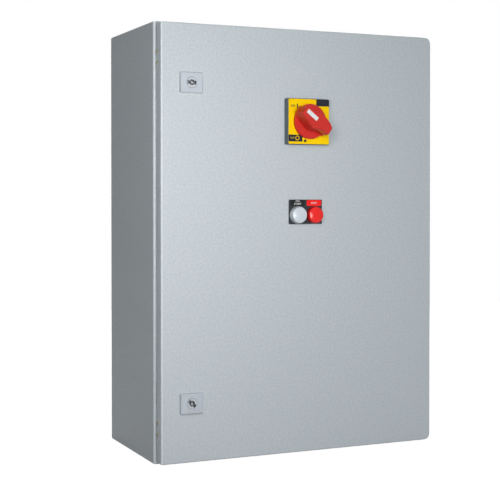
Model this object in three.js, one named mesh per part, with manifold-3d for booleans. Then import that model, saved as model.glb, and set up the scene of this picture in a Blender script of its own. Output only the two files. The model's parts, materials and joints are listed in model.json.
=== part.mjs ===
// Magnetic motor starter: a wall-mounted sheet-steel enclosure with a rotary main-switch handle and
// START and STOP buttons on its door, and a mounting plate that carries the switch, contactor, overload
// relay, control breaker, terminals and wiring inside.
// Millimetres. Seen from the front, X runs right, Z up and Y back to the wall. The origin is the centre of
// the back, where the enclosure meets the wall.

import * as THREE from "three";
import { mergeVertices } from "three/addons/utils/BufferGeometryUtils.js";
import Module from "manifold-3d";

const wasm = await Module();
wasm.setup();

// Clearances, and the overrun of a cut past the surface that it opens
const runningFit = 0.3;
const seatGap = 0.1;
const overrun = 1;
const mergeTolerance = 0.0001;
const smallestRadius = 0.05;

// Enclosure body
const boxWidth = 500;
const boxHeight = 700;
const bodyDepth = 225;
const sheet = 1.5;
const bodyCorner = 3;
const rimBend = 3;
const backBend = 6;
const rimWidth = 22;
const lipDepth = 12;
const lipCorner = 10;
const wallHoleRadius = 4.5;
const wallHoleInset = 24;
const studRadius = 4;
const studShoulderRadius = 8;
const studThread = 10;
const studInset = 14;

// Gland opening in the floor, with its plate and gasket
const glandSideRoom = 80;
const glandEndRoom = 57;
const glandCorner = 8;
const glandMargin = 16;
const glandPlateThickness = 2;
const glandGasketThickness = 3;

// Mounting plate
const plateRoom = 25.5;
const plateThickness = 2.5;
const plateStandoff = 20;
const plateFold = 10;
const plateCorner = 4;

// Door
const doorInset = 3.5;
const doorDepth = 22;
const doorGap = 3;
const doorCorner = 10.5;
const doorLockCorner = 2.5;
const doorBend = 2.5;
const gasketWidth = 13;
const gasketOutside = 5.5;
const gasketCorner = 12;

// Hinges, in the corner between the rim and the door's right-hand return
const hingeAxisInset = 9.4;
const hingeAxisForward = 9.4;
const hingeFromDoorEnd = 54.5;
const hingePinRadius = 2;
const hingePinHeadRadius = 3.4;
const hingePinHeadHeight = 1.6;
const knuckleRadius = 4;
const hingeBlockHeight = 28;
const lugThickness = 4;
const hingeStrapThickness = 2;
const hingeArmFront = 2.4;
const hingeArmRear = 0.6;
const hingeFlangeThickness = 2;
const hingeFlangeReach = 13;

// Locks on the door's left side
const lockFromDoorEdge = 50;
const lockFromDoorEnd = 94;
const lockPlateWidth = 38;
const lockPlateHeight = 32.5;
const lockPlateThickness = 5;
const lockPlateBevel = 1.2;
const lockPlateCorner = 1.5;
const lockBarrelRadius = 11;
const lockBarrelEnd = 29;
const lockInsertRadius = 8.4;
const lockSocketRadius = 4.6;
const lockSocketDepth = 7;
const lockWingLength = 15;
const lockWingWidth = 5.4;
const lockPostRadius = 1.9;
const lockPostSetback = 0.8;
const lockNutSides = 6;
const lockNutRadius = 17;
const lockNutThickness = 6;
const lockSpigotRadius = 4;
const lockSpigotLength = 4.5;
const camThickness = 3;
const camWidth = 16;
const camLength = 38;
const lowerBitTurn = -40;
const upperBitTurn = -4;

// Rotary handle of the main switch
const controlsX = 4.2;
const handleSize = 75;
const handleHousingDepth = 13;
const handleCorner = 1.8;
const handleBend = 1;
const facePlateBorder = 0.9;
const facePlateThickness = 2;
const facePlateCorner = 1.2;
const hubRadius = 12;
const hubClearance = 1;
const sleeveWall = 2.2;
const sleeveEnd = 9.5;
const handleNutRadius = 21;
const handleNutThickness = 7;
const handleNutSides = 8;
const knobRadius = 28.5;
const knobDiscDepth = 6.5;
const knobEdge = 1.4;
const knobSpigotRadius = 8;
const knobSpigotLength = 6;
const gripHalfLength = 29;
const gripHalfWidth = 15;
const gripDepth = 25;
const gripEdge = 1.8;
const gripTurn = 38;
const padlockSlotFrom = 15;
const padlockSlotDepth = 10;
const hubEnd = 28;
const hubBoreEnd = 2;
const shaftSquare = 8;
const shaftEdge = 0.5;
const shaftPlay = 1.6;
const funnelSquare = 15.4;
const funnelDepth = 6;

// Grip outline as shares of its half length and half width; its other half is this one turned half round
const gripOutlineShares = [
  [-1, 0.02],
  [-1, 0.34],
  [-0.97, 0.42],
  [-0.74, 0.47],
  [-0.46, 0.57],
  [-0.24, 0.82],
  [-0.1, 0.99],
  [0.06, 0.98],
  [0.34, 0.89],
  [0.66, 0.77],
  [0.93, 0.53],
  [0.98, 0.44],
];
const gripFootShare = 1.07;
const gripShoulderShare = 0.93;

// START and STOP buttons, side by side under the handle
const buttonPitch = 30;
const buttonsBelowHandle = 152.1;
const holderWidth = 29.8;
const holderBelow = 15;
const holderAbove = 25;
const holderThickness = 3;
const holderCorner = 1.2;
const collarRadius = 14.5;
const collarTopRadius = 14;
const collarRingDepth = 5.4;
const collarFloor = 0.5;
const collarTubeRadius = 11;
const collarTubeEnd = 14;
const capRadius = 13.1;
const capDepth = 5.4;
const capEdge = 1;
const capCrown = 1.4;
const capProud = 9.6;
const capStemRadius = 5;
const capStemEnd = 24;
const buttonTravel = 3;
const latchSize = 28;
const latchDepth = 11;
const contactBlockWidth = 20;
const contactBlockHeight = 38;
const contactBlockDepth = 34;
const contactBlockCorner = 1.5;
const contactTerminalWidth = 5;
const contactTerminalSpread = 10;
const contactTerminalDepth = 9;
const contactTerminalNotch = 5;

// Switch-disconnector behind the handle
const switchWidth = 106;
const switchHeight = 92;
const switchDepth = 68;
const switchStep = 24;
const switchFaceHeight = 52;
const switchFaceDepth = 12;
const switchCorner = 2;
const switchPolePitch = 31;
const switchTerminalWidth = 22;
const switchTerminalReach = 15;
const shaftSeatDepth = 14;
const shaftSeatRadius = 7.5;
const shaftTipFromDoor = 12;
const shaftCollarRadius = 6.8;
const shaftCollarLength = 16;

// Contactor
const contactorWidth = 120;
const contactorHeight = 150;
const contactorBaseDepth = 50;
const contactorBaseWall = 4;
const contactorFoot = 12;
const contactorFootThickness = 6;
const contactorDepth = 128;
const contactorHeadWidth = 104;
const contactorHeadHeight = 72;
const contactorShoulder = 104;
const contactorCorner = 2.5;
const polePitch = 36;
const poleSlotWidth = 24;
const poleSlotReach = 20;
const poleSlotRear = 64;
const poleSlotFront = 92;
const coreWidth = 88;
const coreStack = 30;
const coreYoke = 11;
const coreLegWidth = 14;
const coreCentreLegWidth = 18;
const coreLegLength = 26;
const coreSeat = 4.2;
const coilWallWidth = 12;
const coilLength = 22;
const coilPlay = 0.6;
const armatureGap = 6.6;
const armatureLegLength = 13;
const carrierTravel = 6;
const carrierWidth = 84;
const carrierHeight = 24;
const carrierDepth = 20;
const carrierCorner = 3;
const carrierStemWidth = 22;
const carrierStemHeight = 14;
const indicatorWidth = 16;
const indicatorHeight = 8;
const indicatorProud = 0.5;
const indicatorCorner = 1;
const bridgeHeight = 46;
const bridgeWidth = 10;
const bridgeThickness = 3;

// Thermal overload relay under the contactor
const overloadWidth = 116;
const overloadHeight = 92;
const overloadDepth = 104;
const overloadFaceDepth = 14;
const overloadFaceHeight = 50;
const overloadCorner = 2.5;
const overloadGap = 14;
const busPinWidth = 14;
const busPinThickness = 4;
const busPinReach = 16;
const resetRadius = 5;
const resetProud = 5;
const resetTravel = 3;
const resetX = 36;
const resetDepth = 16;
const dialRadius = 9;
const dialProud = 1.5;
const dialDepth = 5;
const dialSlotWidth = 1.8;
const dialSlotDepth = 1.2;

// Rail with the control breaker and the terminals
const railHeight = 35;
const railDepth = 7.5;
const railThickness = 1;
const railCrown = 25;
const railLeftRoom = 29.5;
const railRightRoom = 129.5;
const breakerFromRailEnd = 30;
const breakerWidth = 17.6;
const breakerHeight = 84;
const breakerDepth = 58;
const breakerFaceHeight = 45;
const breakerFaceDepth = 12;
const breakerBehindRail = 4;
const breakerScrewSpread = 64.5;
const toggleRadius = 6;
const toggleWidth = 9;
const toggleLever = 13;
const toggleLeverThickness = 4;
const toggleTurn = 38;
const terminalWidth = 12;
const terminalGap = 0.4;
const terminalHeight = 54;
const terminalDepth = 46;
const terminalTopHeight = 34;
const terminalShoulderDepth = 15.3;
const terminalCount = 5;
const terminalsFromRailEnd = 85;
const terminalFunnelRadius = 3.6;
const terminalFunnelDepth = 8;
const terminalScrewSpread = 17;
const railFit = 0.3;

// Wiring duct with its cover
const ductSideRoom = 24.5;
const ductHeight = 40;
const ductDepth = 58;
const ductWall = 1.6;
const ductCoverLip = 6;
const ductCoverWall = 1.6;
const ductSlotWidth = 6;
const ductSlotPitch = 20;
const ductSlotDepth = 40;

// Earth bar
const earthSideRoom = 14.5;
const earthLength = 90;
const earthHeight = 14;
const earthThickness = 5;
const earthPostRadius = 5;
const earthPostHeight = 15;
const earthHoleRadius = 2.6;
const earthHolePitch = 11;

// Power conductors from the switch to the contactor
const conductorRadius = 5;
const conductorEndGap = 1;
const conductorSides = 10;
const conductorSteps = 10;

// Free heights between the devices from the plate's top down, which a taller or shorter box shares out
const roomAboveSwitch = 83.1;
const roomAboveContactor = 64.4;
const roomAboveDuct = 24;
const roomAboveRail = 8;
const breakerBelowPlate = 2.5;

// Places that follow from the sizes above
const doorFront = bodyDepth + doorGap + doorDepth;
const doorWidth = boxWidth - 2 * doorInset;
const doorHeight = boxHeight - 2 * doorInset;
const openingWidth = boxWidth - 2 * rimWidth;
const openingHeight = boxHeight - 2 * rimWidth;
const plateFace = plateStandoff + plateThickness;
const floorTop = sheet - boxHeight / 2;
const glandWidth = boxWidth - 2 * glandSideRoom;
const glandDepth = bodyDepth - 2 * glandEndRoom;
const glandFromWall = bodyDepth / 2;
const plateWidth = boxWidth - 2 * plateRoom;
const plateHeight = boxHeight - 2 * plateRoom;
const lockX = lockFromDoorEdge - doorWidth / 2;
const lockHeight = doorHeight / 2 - lockFromDoorEnd;
const hingeHeight = doorHeight / 2 - hingeFromDoorEnd;
const hingeX = boxWidth / 2 - hingeAxisInset;
const hingeY = -(bodyDepth + hingeAxisForward);
const powerHeight = switchHeight + contactorHeight + overloadGap + overloadHeight;
const devicesHeight = powerHeight + ductHeight + breakerHeight;
const roomsHeight = roomAboveSwitch + roomAboveContactor + roomAboveDuct + roomAboveRail;
const spread = (plateHeight + breakerBelowPlate - devicesHeight) / roomsHeight;
const handleHeight = plateHeight / 2 - spread * roomAboveSwitch - switchHeight / 2;
const buttonHeight = handleHeight - buttonsBelowHandle;
const contactorZ = handleHeight - switchHeight / 2 - spread * roomAboveContactor - contactorHeight / 2;
const overloadZ = contactorZ - contactorHeight / 2 - overloadGap - overloadHeight / 2;
const ductZ = overloadZ - overloadHeight / 2 - spread * roomAboveDuct - ductHeight / 2;
const railZ = ductZ - ductHeight / 2 - spread * roomAboveRail - breakerHeight / 2;
const ductLength = plateWidth - 2 * ductSideRoom;
const railLeft = railLeftRoom - plateWidth / 2;
const railRight = plateWidth / 2 - railRightRoom;
const earthX = plateWidth / 2 - earthSideRoom - earthLength / 2;
const gripAngle = THREE.MathUtils.degToRad(gripTurn);
const bodySteps = 5;
const bendSteps = 3;
const smallSteps = 2;
const roundSides = 32;
const holeSides = 16;
const pinSides = 12;
const domeRings = 3;

// Solids

function solid(geometry) {
  const source = geometry.index ? geometry.toNonIndexed() : geometry;
  const plain = new THREE.BufferGeometry();
  plain.setAttribute("position", source.getAttribute("position"));
  const merged = mergeVertices(plain, mergeTolerance);
  const corners = merged.attributes.position.array;
  const faces = new Uint32Array(merged.index.array);
  const made = new wasm.Manifold(new wasm.Mesh({ numProp: 3, vertProperties: corners, triVerts: faces }));
  if (made.volume() > 0) return made;
  for (let i = 0; i < faces.length; i += 3) [faces[i + 1], faces[i + 2]] = [faces[i + 2], faces[i + 1]];
  return new wasm.Manifold(new wasm.Mesh({ numProp: 3, vertProperties: corners, triVerts: faces }));
}

function joined(...pieces) {
  return pieces.reduce((sum, piece) => sum.add(piece));
}

function cut(piece, ...tools) {
  return tools.reduce((rest, tool) => rest.subtract(tool), piece);
}

function place(group, name, piece, material, position = [0, 0, 0]) {
  const { vertProperties, triVerts } = piece.getMesh();
  const geometry = new THREE.BufferGeometry();
  geometry.setAttribute("position", new THREE.BufferAttribute(vertProperties, 3));
  geometry.setIndex(new THREE.BufferAttribute(triVerts, 1));
  geometry.computeVertexNormals();
  const mesh = new THREE.Mesh(geometry, material);
  mesh.name = name;
  mesh.position.set(...position);
  group.add(mesh);
  return mesh;
}

function groupAt(parent, x, y, z) {
  const group = new THREE.Group();
  group.position.set(x, y, z);
  parent.add(group);
  return group;
}

// Outlines, as lists of points round a centre

function circle(radius, across = 0, up = 0, sides = holeSides) {
  return Array.from({ length: sides }, (_, i) => {
    const angle = (2 * Math.PI * i) / sides;
    return new THREE.Vector2(across + radius * Math.cos(angle), up + radius * Math.sin(angle));
  });
}

// A rectangle whose left corners may have a radius of their own
function rectangle(width, height, corner = 0, across = 0, up = 0, steps = smallSteps, leftCorner = corner) {
  if (corner <= 0) return polygon([-1, -1], [1, -1], [1, 1], [-1, 1]).map(
    (p) => new THREE.Vector2(across + (p.x * width) / 2, up + (p.y * height) / 2),
  );
  const points = [];
  [[1, 1], [-1, 1], [-1, -1], [1, -1]].forEach(([sideX, sideY], quarter) => {
    const radius = sideX < 0 ? leftCorner : corner;
    for (let i = 0; i <= steps; i++) {
      const angle = (Math.PI / 2) * (quarter + i / steps);
      points.push(new THREE.Vector2(
        across + sideX * (width / 2 - radius) + radius * Math.cos(angle),
        up + sideY * (height / 2 - radius) + radius * Math.sin(angle),
      ));
    }
  });
  return points;
}

function polygon(...corners) {
  return corners.map(([across, up]) => new THREE.Vector2(across, up));
}

// Extrusions of an outline along each axis

function extruded(outline, length, holes) {
  const shape = new THREE.Shape(outline);
  holes.forEach((hole) => shape.holes.push(new THREE.Path(hole)));
  return new THREE.ExtrudeGeometry(shape, { depth: length, bevelEnabled: false });
}

// Drawn from the front as X and Z
function frontPrism(outline, rear, front, holes = []) {
  const geometry = extruded(outline, rear - front, holes);
  return solid(geometry.rotateX(Math.PI / 2).translate(0, rear, 0));
}

// Drawn from above as X and Y
function topPrism(outline, low, high, holes = []) {
  return solid(extruded(outline, high - low, holes).translate(0, 0, low));
}

// Drawn from the side as Y and Z
function sidePrism(outline, left, right, holes = []) {
  const turned = new THREE.Matrix4().makeBasis(
    new THREE.Vector3(0, 1, 0), new THREE.Vector3(0, 0, 1), new THREE.Vector3(1, 0, 0),
  );
  return solid(extruded(outline, right - left, holes).applyMatrix4(turned).translate(left, 0, 0));
}

function box(left, right, rear, front, low, high) {
  const geometry = new THREE.BoxGeometry(right - left, rear - front, high - low);
  return solid(geometry.translate((left + right) / 2, (rear + front) / 2, (low + high) / 2));
}

// A profile of [radius, distance] pairs, revolved round the Y axis or the Z axis
function turnedOnY(profile, sides = roundSides, x = 0, z = 0) {
  const points = profile.map(([radius, along]) => new THREE.Vector2(radius, along));
  return solid(new THREE.LatheGeometry(points, sides).translate(x, 0, z));
}

function turnedOnZ(profile, sides = pinSides, x = 0, y = 0) {
  const points = profile.map(([radius, along]) => new THREE.Vector2(radius, along));
  return solid(new THREE.LatheGeometry(points, sides).rotateX(Math.PI / 2).translate(x, y, 0));
}

// Skins outlines of equal point counts that lie at given Y distances, rear first
function loft(sections) {
  const count = sections[0].outline.length;
  const positions = [];
  const corner = (section, i) => [section.outline[i % count].x, section.y, section.outline[i % count].y];
  const triangle = (a, b, c) => positions.push(...a, ...b, ...c);
  const middle = (section) => {
    const sum = section.outline.reduce((total, p) => total.add(p), new THREE.Vector2());
    return [sum.x / count, section.y, sum.y / count];
  };
  for (let s = 0; s + 1 < sections.length; s++) {
    for (let i = 0; i < count; i++) {
      const [near, far] = [sections[s], sections[s + 1]];
      triangle(corner(near, i), corner(near, i + 1), corner(far, i + 1));
      triangle(corner(near, i), corner(far, i + 1), corner(far, i));
    }
  }
  const first = sections[0];
  const last = sections[sections.length - 1];
  for (let i = 0; i < count; i++) {
    triangle(middle(first), corner(first, i + 1), corner(first, i));
    triangle(middle(last), corner(last, i), corner(last, i + 1));
  }
  const geometry = new THREE.BufferGeometry();
  geometry.setAttribute("position", new THREE.Float32BufferAttribute(positions, 3));
  return solid(geometry);
}

// A block with rounded long edges whose rear and front edges are bent over by a radius
function bentBlock({
  width, height, corner, leftCorner = corner, rear, front, rearBend = 0, frontBend = 0, steps = smallSteps,
}) {
  const section = (inset, y) => ({
    y,
    outline: rectangle(
      width - 2 * inset, height - 2 * inset, Math.max(corner - inset, smallestRadius), 0, 0, steps,
      Math.max(leftCorner - inset, smallestRadius),
    ),
  });
  const sections = [];
  for (let i = 0; rearBend > 0 && i < bendSteps; i++) {
    const angle = (Math.PI / 2) * (i / bendSteps);
    sections.push(section(rearBend * (1 - Math.sin(angle)), rear - rearBend * (1 - Math.cos(angle))));
  }
  sections.push(section(0, rear - rearBend));
  sections.push(section(0, front + frontBend));
  for (let i = bendSteps - 1; frontBend > 0 && i >= 0; i--) {
    const angle = (Math.PI / 2) * (i / bendSteps);
    sections.push(section(frontBend * (1 - Math.sin(angle)), front + frontBend * (1 - Math.cos(angle))));
  }
  return loft(sections);
}

function fourCorners(across, up) {
  return [[-across, -up], [across, -up], [across, up], [-across, up]];
}

// Enclosure body and what is fixed to it

function enclosureShell() {
  const outside = bentBlock({
    width: boxWidth, height: boxHeight, corner: bodyCorner, rear: 0, front: -bodyDepth,
    rearBend: backBend, frontBend: rimBend,
  });
  const inside = bentBlock({
    width: boxWidth - 2 * sheet, height: boxHeight - 2 * sheet, corner: bodyCorner - sheet,
    rear: -sheet, front: sheet - bodyDepth, rearBend: backBend - sheet,
  });
  const opening = rectangle(openingWidth, openingHeight, lipCorner, 0, 0, bodySteps);
  const lipOutline = rectangle(
    openingWidth + 2 * sheet, openingHeight + 2 * sheet, lipCorner + sheet, 0, 0, bodySteps,
  );
  const lip = frontPrism(lipOutline, sheet - bodyDepth, -(bodyDepth + lipDepth));
  const mouth = frontPrism(opening, sheet - bodyDepth + overrun, -(bodyDepth + lipDepth + overrun));
  const holes = fourCorners(boxWidth / 2 - wallHoleInset, boxHeight / 2 - wallHoleInset).map(
    ([x, z]) => frontPrism(circle(wallHoleRadius, x, z, pinSides), overrun, -(sheet + overrun)),
  );
  const gland = topPrism(
    rectangle(glandWidth, glandDepth, glandCorner, 0, -glandFromWall),
    -(boxHeight / 2 + overrun), floorTop + overrun,
  );
  const shell = cut(joined(cut(outside, inside), lip), mouth, gland, ...holes);
  return joined(shell, ...mountingStuds());
}

// Welded studs: a shoulder that spaces the plate off the back, then the thread
function mountingStuds() {
  return fourCorners(plateWidth / 2 - studInset, plateHeight / 2 - studInset).map(([x, z]) => turnedOnY([
    [0, -sheet / 2],
    [studShoulderRadius, -sheet / 2],
    [studShoulderRadius, seatGap - plateStandoff],
    [studRadius, seatGap - plateStandoff],
    [studRadius, -(plateFace + studThread)],
    [0, -(plateFace + studThread)],
  ], pinSides, x, z));
}

function mountingPlate() {
  const across = plateWidth / 2 - studInset;
  const up = plateHeight / 2 - studInset;
  const holes = fourCorners(across, up).map(([x, z]) => circle(studRadius + runningFit, x, z, pinSides));
  const outline = rectangle(plateWidth, plateHeight, plateCorner);
  const sheetPart = frontPrism(outline, -plateStandoff, -plateFace, holes);
  const foldHeight = plateHeight - 2 * plateCorner;
  const edge = plateWidth / 2;
  const foldFront = -(plateStandoff + plateThickness / 2);
  const fold = (left, right) => box(
    left, right, plateFold - plateFace, foldFront, -foldHeight / 2, foldHeight / 2,
  );
  return joined(sheetPart, fold(-edge, sheet - edge), fold(edge - sheet, edge));
}

function glandFrame(low, high, open) {
  const outline = rectangle(
    glandWidth + 2 * glandMargin, glandDepth + 2 * glandMargin, glandCorner, 0, -glandFromWall,
  );
  const hole = rectangle(glandWidth, glandDepth, glandCorner, 0, -glandFromWall);
  return topPrism(outline, low, high, open ? [hole] : []);
}

// Strap beside the lip, with a lug above and below the door's hinge block
function hingeLeaf() {
  const blockHalf = hingeBlockHeight / 2 + runningFit;
  const half = blockHalf + lugThickness;
  const strapLeft = openingWidth / 2 + sheet + seatGap - hingeX;
  const strapRight = strapLeft + hingeStrapThickness;
  const strap = box(strapLeft, strapRight, hingeAxisForward - seatGap, -hingeArmFront, -half, half);
  const bore = circle(hingePinRadius + runningFit, 0, 0, pinSides);
  const lug = (low) => cut(
    joined(
      box(strapLeft, 0, hingeArmRear, -hingeArmFront, low, low + lugThickness),
      topPrism(circle(knuckleRadius), low, low + lugThickness),
    ),
    topPrism(bore, low - overrun, low + lugThickness + overrun),
  );
  return joined(strap, lug(-half), lug(blockHalf));
}

function hingePin() {
  const half = hingeBlockHeight / 2 + runningFit + lugThickness;
  return turnedOnZ([
    [0, -(half + overrun)],
    [hingePinRadius, -(half + overrun)],
    [hingePinRadius, half + seatGap],
    [hingePinHeadRadius, half + seatGap],
    [hingePinHeadRadius, half + seatGap + hingePinHeadHeight],
    [0, half + seatGap + hingePinHeadHeight],
  ]);
}

// Zinc block on the door's return, with the pin's bore and a flange for its two screws
function hingeBlock() {
  const half = hingeBlockHeight / 2;
  const returnFace = boxWidth / 2 - doorInset - sheet - seatGap - hingeX;
  const body = joined(
    topPrism(circle(knuckleRadius), -half, half),
    box(0, returnFace, knuckleRadius, -knuckleRadius, -half, half),
    box(returnFace - hingeFlangeThickness, returnFace, 0, -hingeFlangeReach, -half, half),
  );
  const bore = circle(hingePinRadius + runningFit, 0, 0, pinSides);
  return cut(body, topPrism(bore, -(half + overrun), half + overrun));
}

// Door, drawn with its outer face at zero and its inside towards positive Y

function doorPanel() {
  const outside = bentBlock({
    width: doorWidth, height: doorHeight, corner: doorCorner, leftCorner: doorLockCorner,
    rear: doorDepth, front: 0, frontBend: doorBend, steps: bodySteps,
  });
  const inside = bentBlock({
    width: doorWidth - 2 * sheet, height: doorHeight - 2 * sheet, corner: doorCorner - sheet,
    leftCorner: doorLockCorner - sheet, rear: doorDepth + overrun, front: sheet, frontBend: doorBend - sheet,
    steps: bodySteps,
  });
  const through = (radius, x, z) => frontPrism(circle(radius, x, z), sheet + overrun, -overrun);
  return cut(
    outside,
    inside,
    through(hubRadius + hubClearance + sleeveWall + runningFit, controlsX, handleHeight),
    ...[-1, 1].map((side) => through(lockBarrelRadius + runningFit, lockX, side * lockHeight)),
    ...[-1, 1].map((side) => through(
      collarTubeRadius + runningFit, controlsX + (side * buttonPitch) / 2, buttonHeight,
    )),
  );
}

function doorGasket() {
  const width = openingWidth + 2 * (sheet + gasketOutside);
  const height = openingHeight + 2 * (sheet + gasketOutside);
  const innerWidth = width - 2 * gasketWidth;
  const innerHeight = height - 2 * gasketWidth;
  const outline = rectangle(width, height, gasketCorner, 0, 0, bodySteps);
  const hole = rectangle(innerWidth, innerHeight, gasketCorner / 2, 0, 0, bodySteps);
  return frontPrism(outline, doorDepth + doorGap - lipDepth - runningFit, sheet + seatGap, [hole]);
}

// Locks

function lockHousing() {
  const outline = (inset) => rectangle(
    lockPlateWidth - 2 * inset, lockPlateHeight - 2 * inset, lockPlateCorner,
  );
  const plate = loft([
    { y: -seatGap, outline: outline(0) },
    { y: lockPlateBevel - lockPlateThickness, outline: outline(0) },
    { y: -lockPlateThickness, outline: outline(lockPlateBevel) },
  ]);
  const barrel = frontPrism(circle(lockBarrelRadius), lockBarrelEnd, -seatGap - overrun);
  const bore = circle(lockInsertRadius + runningFit, 0, 0, roundSides);
  return cut(
    joined(plate, barrel), frontPrism(bore, lockBarrelEnd + overrun, -(lockPlateThickness + overrun)),
  );
}

function lockNut() {
  const outline = circle(lockNutRadius, 0, 0, lockNutSides);
  const rear = sheet + seatGap + lockNutThickness;
  return frontPrism(outline, rear, sheet + seatGap, [circle(lockBarrelRadius + runningFit)]);
}

// Cylinder with a keyhole for a double-bit key round its centre post, and a spigot for the cam behind
function lockInsert() {
  const front = -lockPlateThickness;
  const body = turnedOnY([
    [0, lockBarrelEnd + lockSpigotLength],
    [lockSpigotRadius, lockBarrelEnd + lockSpigotLength],
    [lockSpigotRadius, lockBarrelEnd],
    [lockInsertRadius, lockBarrelEnd],
    [lockInsertRadius, front],
    [0, front],
  ]);
  const floor = front + lockSocketDepth;
  const keyhole = joined(
    frontPrism(circle(lockSocketRadius), floor, front - overrun),
    frontPrism(rectangle(lockWingLength, lockWingWidth), floor, front - overrun),
  );
  const post = frontPrism(circle(lockPostRadius, 0, 0, pinSides), floor + overrun, front + lockPostSetback);
  return joined(cut(body, keyhole), post);
}

function lockCam() {
  const front = lockBarrelEnd + seatGap;
  const half = camWidth / 2;
  const tongue = joined(
    frontPrism(circle(half, 0, 0, holeSides), front + camThickness, front),
    frontPrism(
      polygon([-half, 0], [half, 0], [half, camLength - half / 2], [half / 2, camLength], [-half, camLength]),
      front + camThickness, front,
    ),
  );
  const bore = circle(lockSpigotRadius + runningFit, 0, 0, pinSides);
  return cut(tongue, frontPrism(bore, front + camThickness + overrun, front - overrun));
}

// Rotary handle, drawn with the door's outer face at zero

function handleHousing() {
  const body = bentBlock({
    width: handleSize, height: handleSize, corner: handleCorner, rear: -seatGap, front: -handleHousingDepth,
    frontBend: handleBend, steps: smallSteps,
  });
  const boreRadius = hubRadius + hubClearance;
  const sleeve = frontPrism(circle(boreRadius + sleeveWall, 0, 0, roundSides), sleeveEnd, -seatGap - overrun);
  const bore = frontPrism(
    circle(boreRadius, 0, 0, roundSides), sleeveEnd + overrun, -(handleHousingDepth + overrun),
  );
  return cut(joined(body, sleeve), bore);
}

function handleNut() {
  const bore = circle(hubRadius + hubClearance + sleeveWall + runningFit, 0, 0, roundSides);
  const rear = sheet + seatGap + handleNutThickness;
  return frontPrism(circle(handleNutRadius, 0, 0, handleNutSides), rear, sheet + seatGap, [bore]);
}

function facePlate() {
  const size = handleSize - 2 * facePlateBorder;
  const rear = -(handleHousingDepth + seatGap);
  const bore = circle(hubRadius + hubClearance, 0, 0, roundSides);
  return frontPrism(rectangle(size, size, facePlateCorner), rear, rear - facePlateThickness, [bore]);
}

// The grip's outline is the same when turned half round: a waist, a shoulder and a blunt end on each side
function gripOutline(lengthShare, widthShare) {
  const half = gripOutlineShares.map(([along, across]) => new THREE.Vector3(
    along * gripHalfLength * lengthShare, across * gripHalfWidth * widthShare, 0,
  ));
  const whole = [...half, ...half.map((p) => p.clone().negate())];
  const curve = new THREE.CatmullRomCurve3(whole, true, "centripetal");
  const points = curve.getPoints(2 * whole.length);
  points.pop();
  return points.map((p) => new THREE.Vector2(p.x, p.y));
}

function handleKnob() {
  const rear = -(handleHousingDepth + facePlateThickness + seatGap + runningFit);
  const discFront = rear - knobDiscDepth;
  const gripFront = discFront - gripDepth;
  const disc = turnedOnY([
    [0, rear + knobSpigotLength],
    [knobSpigotRadius, rear + knobSpigotLength],
    [knobSpigotRadius, rear],
    [knobRadius, rear],
    [knobRadius, discFront + knobEdge],
    [knobRadius - knobEdge, discFront],
    [0, discFront],
  ]);
  const grip = loft([
    { y: discFront + knobEdge, outline: gripOutline(gripFootShare, gripFootShare) },
    { y: gripFront + gripEdge, outline: gripOutline(1, 1) },
    { y: gripFront + gripEdge * (1 - Math.SQRT1_2), outline: gripOutline(
      (1 + gripShoulderShare) / 2, (1 + gripShoulderShare) / 2,
    ) },
    { y: gripFront, outline: gripOutline(gripShoulderShare, gripShoulderShare) },
  ]);
  const slotHalf = gripHalfWidth + overrun;
  const padlockSlot = box(
    padlockSlotFrom, gripHalfLength * gripFootShare + overrun, discFront, discFront - padlockSlotDepth,
    -slotHalf, slotHalf,
  );
  return joined(disc, cut(grip, padlockSlot));
}

// Socket on the knob's axis that takes the switch shaft when the door closes
function handleSocket() {
  const front = -(handleHousingDepth + facePlateThickness);
  const tube = frontPrism(circle(hubRadius, 0, 0, roundSides), hubEnd, front);
  const bore = shaftSquare + 2 * shaftPlay;
  const funnel = loft([
    { y: hubEnd + overrun, outline: rectangle(funnelSquare, funnelSquare) },
    { y: hubEnd, outline: rectangle(funnelSquare, funnelSquare) },
    { y: hubEnd - funnelDepth, outline: rectangle(bore, bore) },
    { y: hubBoreEnd, outline: rectangle(bore, bore) },
  ]);
  const spigotSeat = frontPrism(
    circle(knobSpigotRadius + runningFit), front + knobSpigotLength, front - overrun,
  );
  return cut(tube, funnel, spigotSeat);
}

// Buttons, drawn with the door's outer face at zero and the cap's axis at the centre

function legendHolder() {
  const height = holderBelow + holderAbove;
  const up = (holderAbove - holderBelow) / 2;
  const outline = rectangle(holderWidth, height, holderCorner, 0, up);
  const hole = circle(collarTubeRadius + runningFit, 0, 0, holeSides);
  return frontPrism(outline, -seatGap, -holderThickness, [hole]);
}

function buttonCollar() {
  const rear = -(holderThickness + seatGap);
  const front = rear - collarRingDepth;
  return turnedOnY([
    [capStemRadius + runningFit, collarTubeEnd],
    [collarTubeRadius, collarTubeEnd],
    [collarTubeRadius, rear],
    [collarRadius, rear],
    [collarTopRadius, front],
    [capRadius + runningFit, front],
    [capRadius + runningFit, rear - collarFloor],
    [capStemRadius + runningFit, rear - collarFloor],
    [capStemRadius + runningFit, collarTubeEnd],
  ]);
}

// Cap with a domed face, on a stem that reaches the contact block's plunger
function buttonCap() {
  const front = -(holderThickness + capProud);
  const domeRadius = capRadius - capEdge;
  const dome = Array.from({ length: domeRings + 1 }, (_, i) => {
    const share = 1 - i / domeRings;
    return [domeRadius * share, front - capCrown * (1 - share * share)];
  });
  return turnedOnY([
    [0, capStemEnd],
    [capStemRadius, capStemEnd],
    [capStemRadius, front + capDepth],
    [capRadius, front + capDepth],
    [capRadius, front + capEdge],
    ...dome,
  ]);
}

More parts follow.
